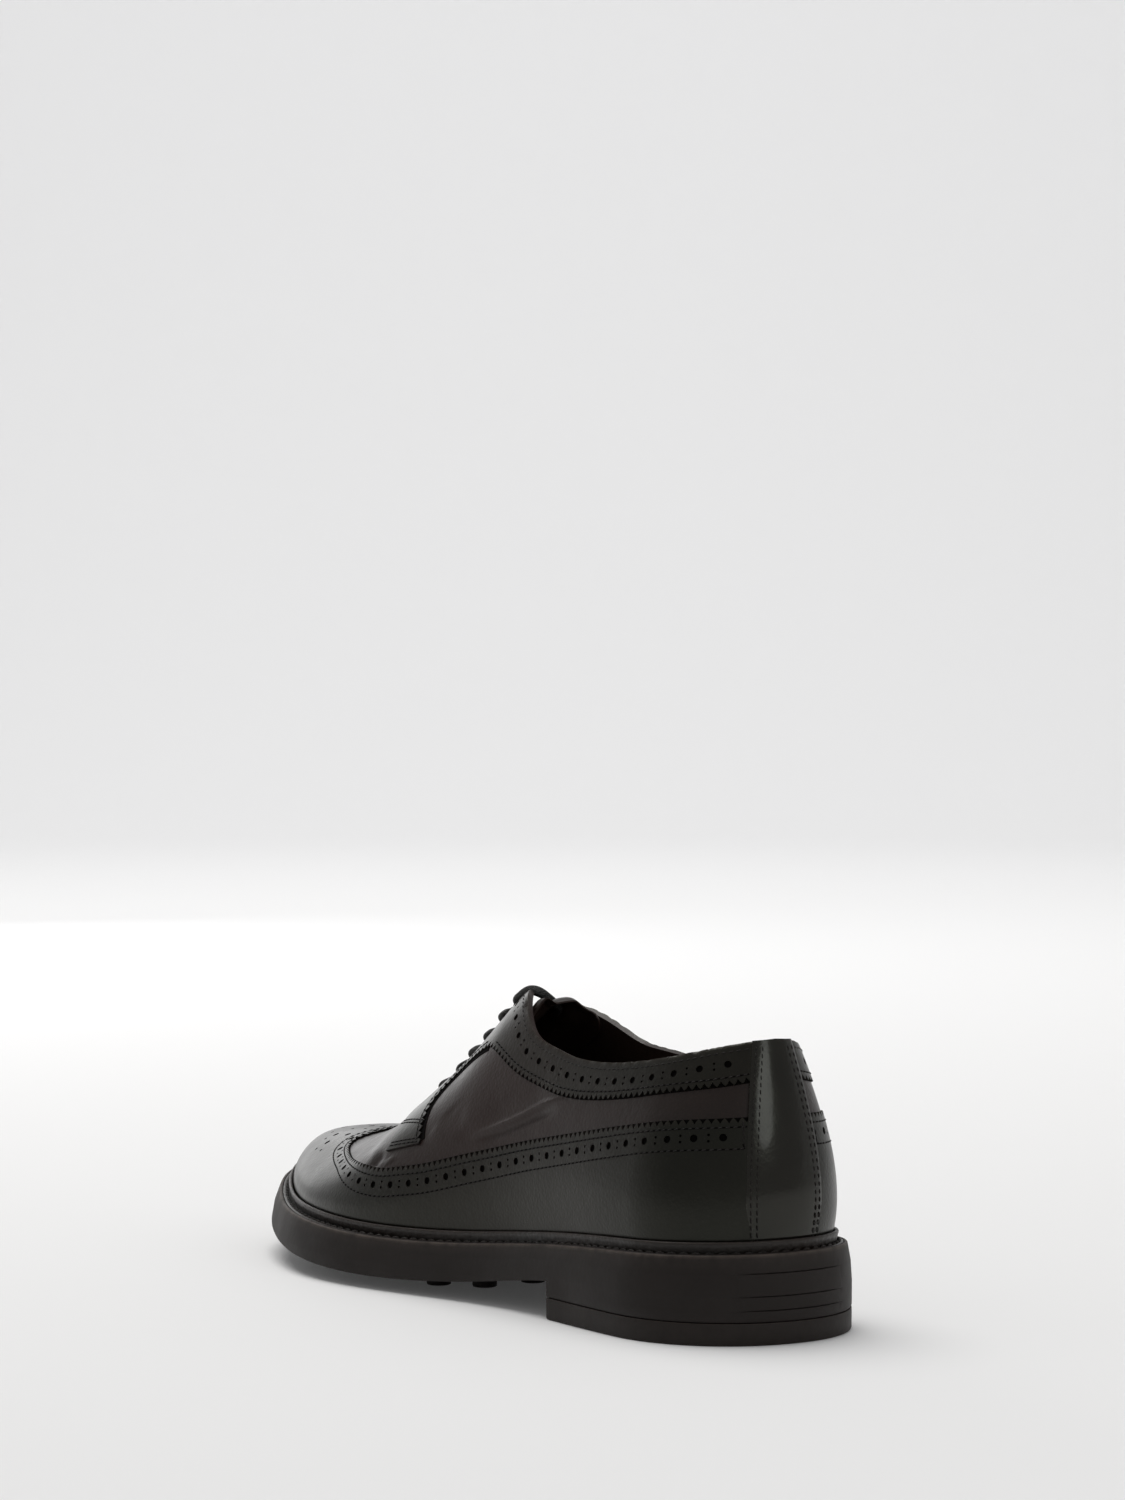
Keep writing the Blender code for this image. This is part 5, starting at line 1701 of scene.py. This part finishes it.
def placeCamera():
    c = cameraPlace
    level = np.cos(c["down"])
    ahead = Vector((np.cos(c["turn"]) * level, -np.sin(c["turn"]) * level, -np.sin(c["down"])))
    aim = Vector(np.array(c["aim"]) - frameOrigin)
    data = bpy.data.cameras.new("view")
    camera = bpy.data.objects.new("view", data)
    bpy.context.scene.collection.objects.link(camera)
    camera.location = aim - ahead * c["distance"]
    camera.rotation_euler = ahead.to_track_quat("-Z", "Y").to_euler()
    data.sensor_width = c["sensor"]
    data.lens = c["pixelsPerMetre"] * c["distance"] * c["sensor"] / c["photoHeight"]
    data.shift_x = (c["photoWidth"] / 2 - c["middleX"]) / c["photoHeight"]
    data.shift_y = (c["middleY"] - c["photoHeight"] / 2) / c["photoHeight"]
    data.clip_end = c["farthest"]
    bpy.context.scene.camera = camera


studio = dict(
    floorColour=(0.80, 0.80, 0.805), floorGlow=0.04, floorRough=0.9, floorGloss=0.1,
    floorReach=3.0, bowlRound=1.0, bowlSteps=20, bowlTurns=96, middleReach=0.6, wallTop=1.9,
    wallTurn=-0.58, wallSpread=(-0.30, 0.25), worldLight=0.34,
    lights=(  # name, place from the shoe, size, power, colour, aim
        ("high_softbox", (0.9, 0.0, 2.7), 2.4, 58.0, (1.0, 0.99, 0.97), (0, 0, 0.05)),
        ("heel_window", (-1.7, -0.3, 0.9), 0.7, 3.0, (0.97, 0.985, 1.0), (0, 0, 0.05)),
        ("toe_window", (1.7, -0.4, 0.5), 0.9, 2.0, (1.0, 1.0, 1.0), (0, 0, 0.05)),
        ("wall_wash", (1.7, -1.1, 2.3), 1.2, 22.0, (1.0, 1.0, 1.0), (3.6, -2.3, 0.5)),
    ),
)


def makeStudio():
    reach, around, turns = studio["floorReach"], studio["bowlRound"], studio["bowlTurns"]
    bend = np.linspace(0, np.pi / 2, studio["bowlSteps"])[1:]
    profile = [(studio["middleReach"], 0.0), (reach, 0.0)]
    profile += [(reach + around * np.sin(a), around * (1 - np.cos(a))) for a in bend]
    profile.append((reach + around, studio["wallTop"]))
    angle = np.arange(turns) * 2 * np.pi / turns
    store = PointStore()
    low, high = studio["wallSpread"]  # the bowl's wall stands only on the side that the camera looks at
    rise = smoothstep((np.cos(angle - studio["wallTurn"]) - low) / (high - low))
    plan = np.stack([np.cos(angle), np.sin(angle)], -1)
    rings = [store.add(np.column_stack([r * plan, z * rise])) for r, z in profile]
    faces = ringFaces(rings) + [tuple(rings[0])]
    mesh = bpy.data.meshes.new("studio_floor")
    mesh.from_pydata(store.all().tolist(), [], [tuple(int(i) for i in face) for face in faces])
    body = bmesh.new()
    body.from_mesh(mesh)
    bmesh.ops.recalc_face_normals(body, faces=body.faces)
    if sum(face.normal.z for face in body.faces) < 0:
        bmesh.ops.reverse_faces(body, faces=body.faces)
    body.to_mesh(mesh)
    body.free()
    mesh.shade_smooth()
    paint = bpy.data.materials.new("pale paper")
    paint.use_nodes = True
    shader = paint.node_tree.nodes["Principled BSDF"]
    setSockets(shader, {
        "Base Color": (*studio["floorColour"], 1),
        "Roughness": studio["floorRough"],
        "Emission Color": (1, 1, 1, 1),
        "Emission Strength": studio["floorGlow"],
        "Specular IOR Level": studio["floorGloss"],
    })
    mesh.materials.append(paint)
    floor = bpy.data.objects.new("studio_floor", mesh)
    bpy.context.scene.collection.objects.link(floor)
    world = bpy.data.worlds.new("studio")
    world.use_nodes = True
    sky = world.node_tree.nodes["Background"]
    setSockets(sky, {"Color": (1, 1, 1, 1), "Strength": studio["worldLight"]})
    bpy.context.scene.world = world
    for name, place, size, power, colour, aim in studio["lights"]:
        data = bpy.data.lights.new(name, "AREA")
        data.shape = "DISK"
        data.size = size
        data.energy = power
        data.color = colour
        light = bpy.data.objects.new(name, data)
        bpy.context.scene.collection.objects.link(light)
        light.location = place
        light.rotation_euler = (Vector(aim) - Vector(place)).to_track_quat("-Z", "Y").to_euler()


placeCamera()
makeStudio()
bpy.context.scene.view_settings.view_transform = "Standard"
